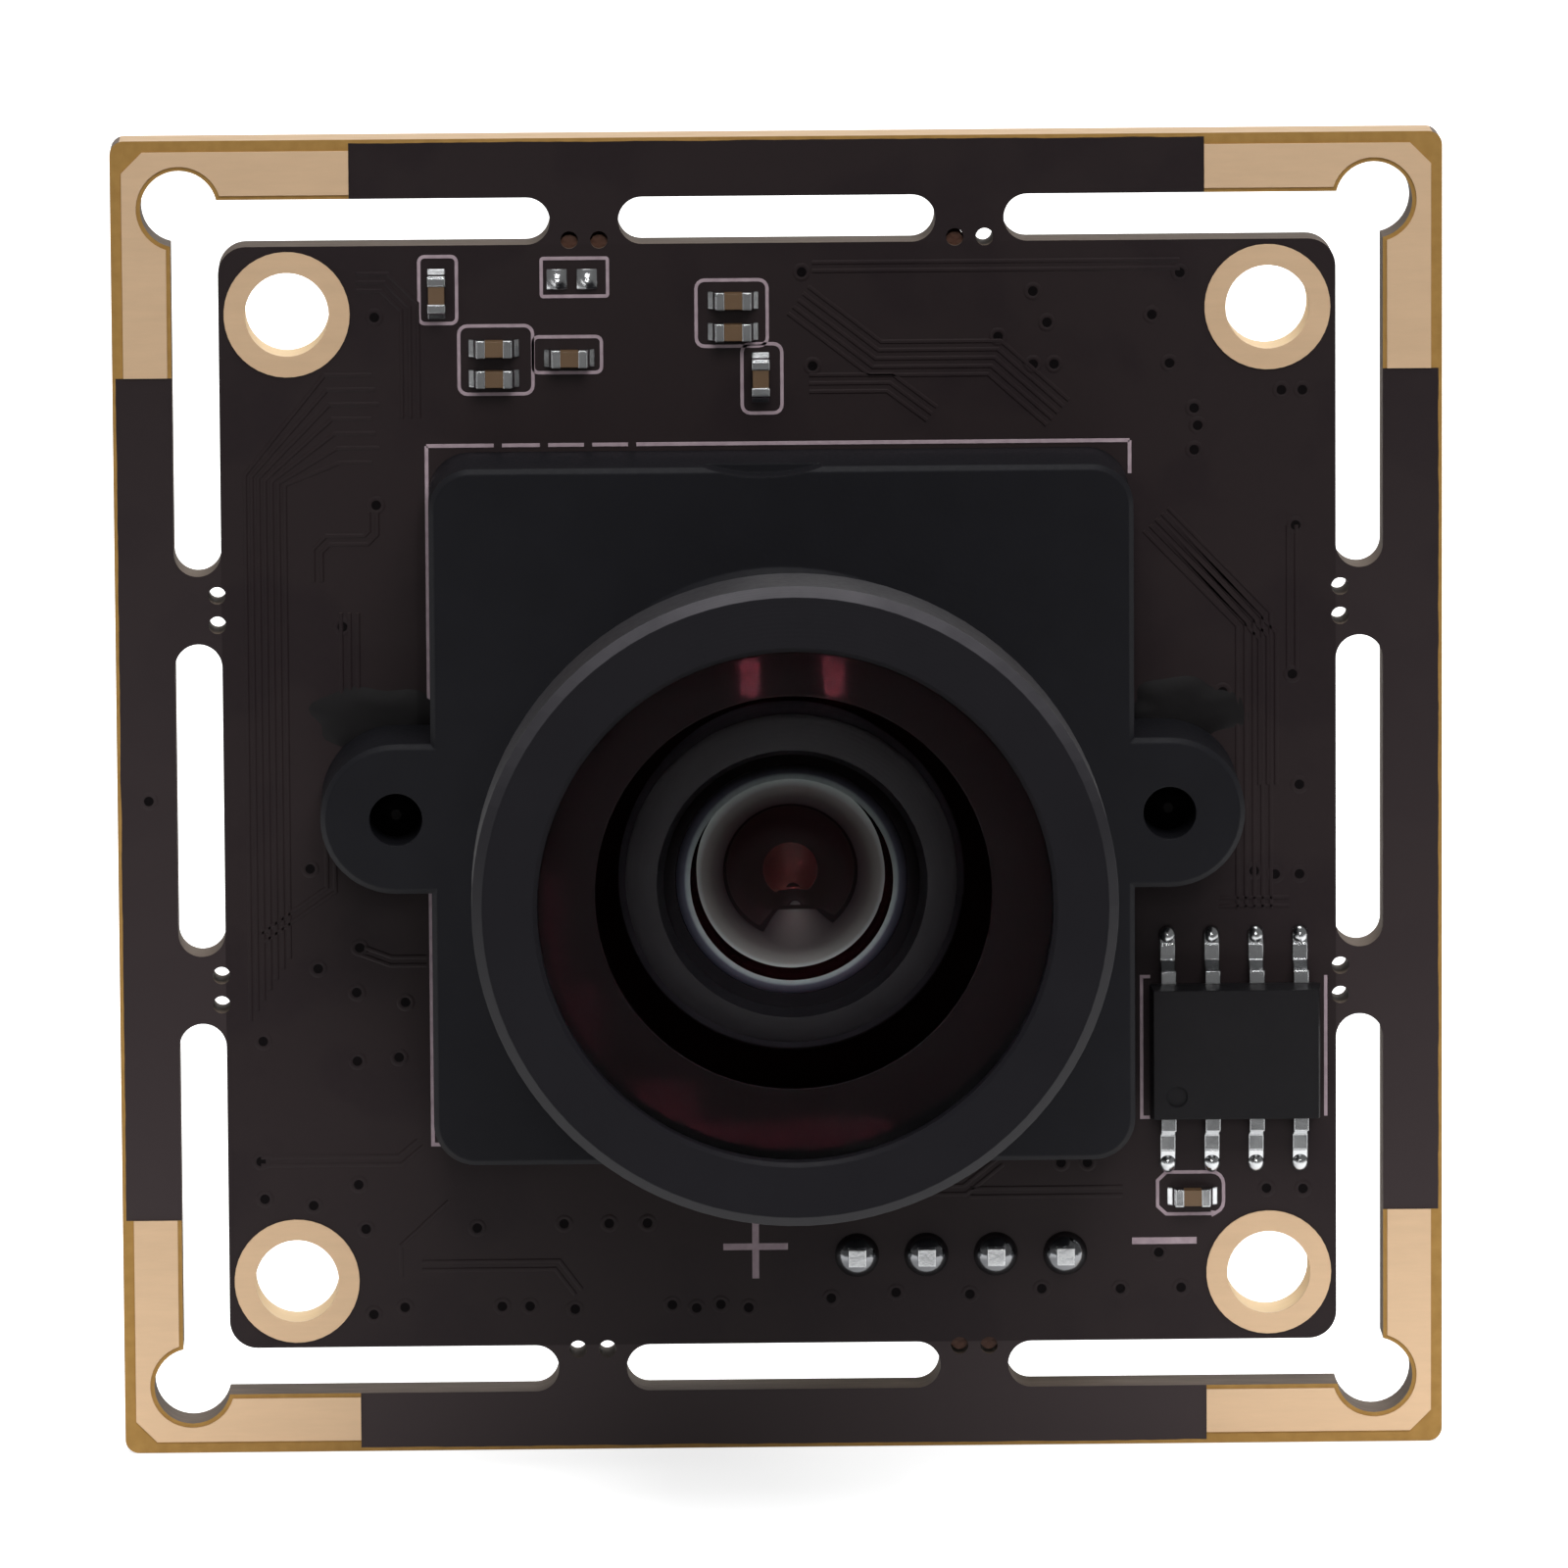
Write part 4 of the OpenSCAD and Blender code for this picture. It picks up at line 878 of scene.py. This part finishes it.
def lamp(name, place, size, power, mirrored=True, lights=True):
    """An area lamp that faces the object.

    mirrored is off for a lamp that neither mirrors nor glass show, and lights is off for one
    that is only seen in them.
    """
    data = bpy.data.lights.new(name, "AREA")
    data.shape = "RECTANGLE"
    data.size, data.size_y = size
    data.energy = power
    obj = bpy.data.objects.new(name, data)
    obj.visible_glossy = obj.visible_transmission = mirrored
    obj.visible_diffuse = lights
    obj.location = place
    obj.rotation_euler = (-Vector(place)).to_track_quat("-Z", "Y").to_euler()
    bpy.context.scene.collection.objects.link(obj)


def mirror_cards():
    """Low cards whose mirror images make the crescent in the front glass.

    Each image lies at an angle round the glass, seen from the camera, which looks down on it.
    """
    distance, spread = 0.55, math.radians(22.5)
    for turn in (185, 210, 235, 260, 285):
        across = spread * math.cos(math.radians(turn))
        along = spread * math.sin(math.radians(turn)) - math.radians(CAMERA_RISE)
        place = (distance * math.sin(across), -distance * math.cos(across),
                 distance * math.tan(along))
        size, power = ((0.09, 0.05), 0.06) if turn > 220 else ((0.05, 0.09), 0.035)
        lamp(f"card_{turn}", place, size, power, lights=False)


def camera():
    azimuth, elevation, roll = (math.radians(a) for a in (-1.1, CAMERA_RISE, -0.353))
    distance, focal, sensor = 0.4353, 347.2, 36.0
    away = Vector((math.sin(azimuth) * math.cos(elevation),
                   -math.cos(azimuth) * math.cos(elevation), math.sin(elevation)))
    right = Vector((math.cos(azimuth), math.sin(azimuth), 0))
    up = away.cross(right)
    turn = Matrix.Rotation(roll, 3, away)
    right, up = turn @ right, turn @ up
    eye = away * distance + right * mm(0.139) + up * mm(0.104)
    data = bpy.data.cameras.new("camera")
    data.lens, data.sensor_width = focal, sensor
    data.clip_start, data.clip_end = 0.01, 20
    obj = bpy.data.objects.new("camera", data)
    axes = Matrix((right, up, away)).transposed().to_4x4()
    obj.matrix_world = Matrix.Translation(eye) @ axes
    bpy.context.scene.collection.objects.link(obj)
    bpy.context.scene.camera = obj


floor()
world()
lamp("key", (0.12, -0.75, 0.8), (0.7, 0.5), 8.0, mirrored=False)
lamp("overhead", (0, -0.05, 0.7), (0.3, 0.3), 1.6)
lamp("strip_left", (-0.031, -0.6, 0.158), (0.02, 0.09), 0.18)
lamp("strip_right", (0.05, -0.6, 0.158), (0.02, 0.09), 0.18)
lamp("back_fill", (0.3, 0.8, 0.5), (0.6, 0.6), 2.0)
mirror_cards()
camera()
bpy.context.scene.view_settings.view_transform = "Standard"
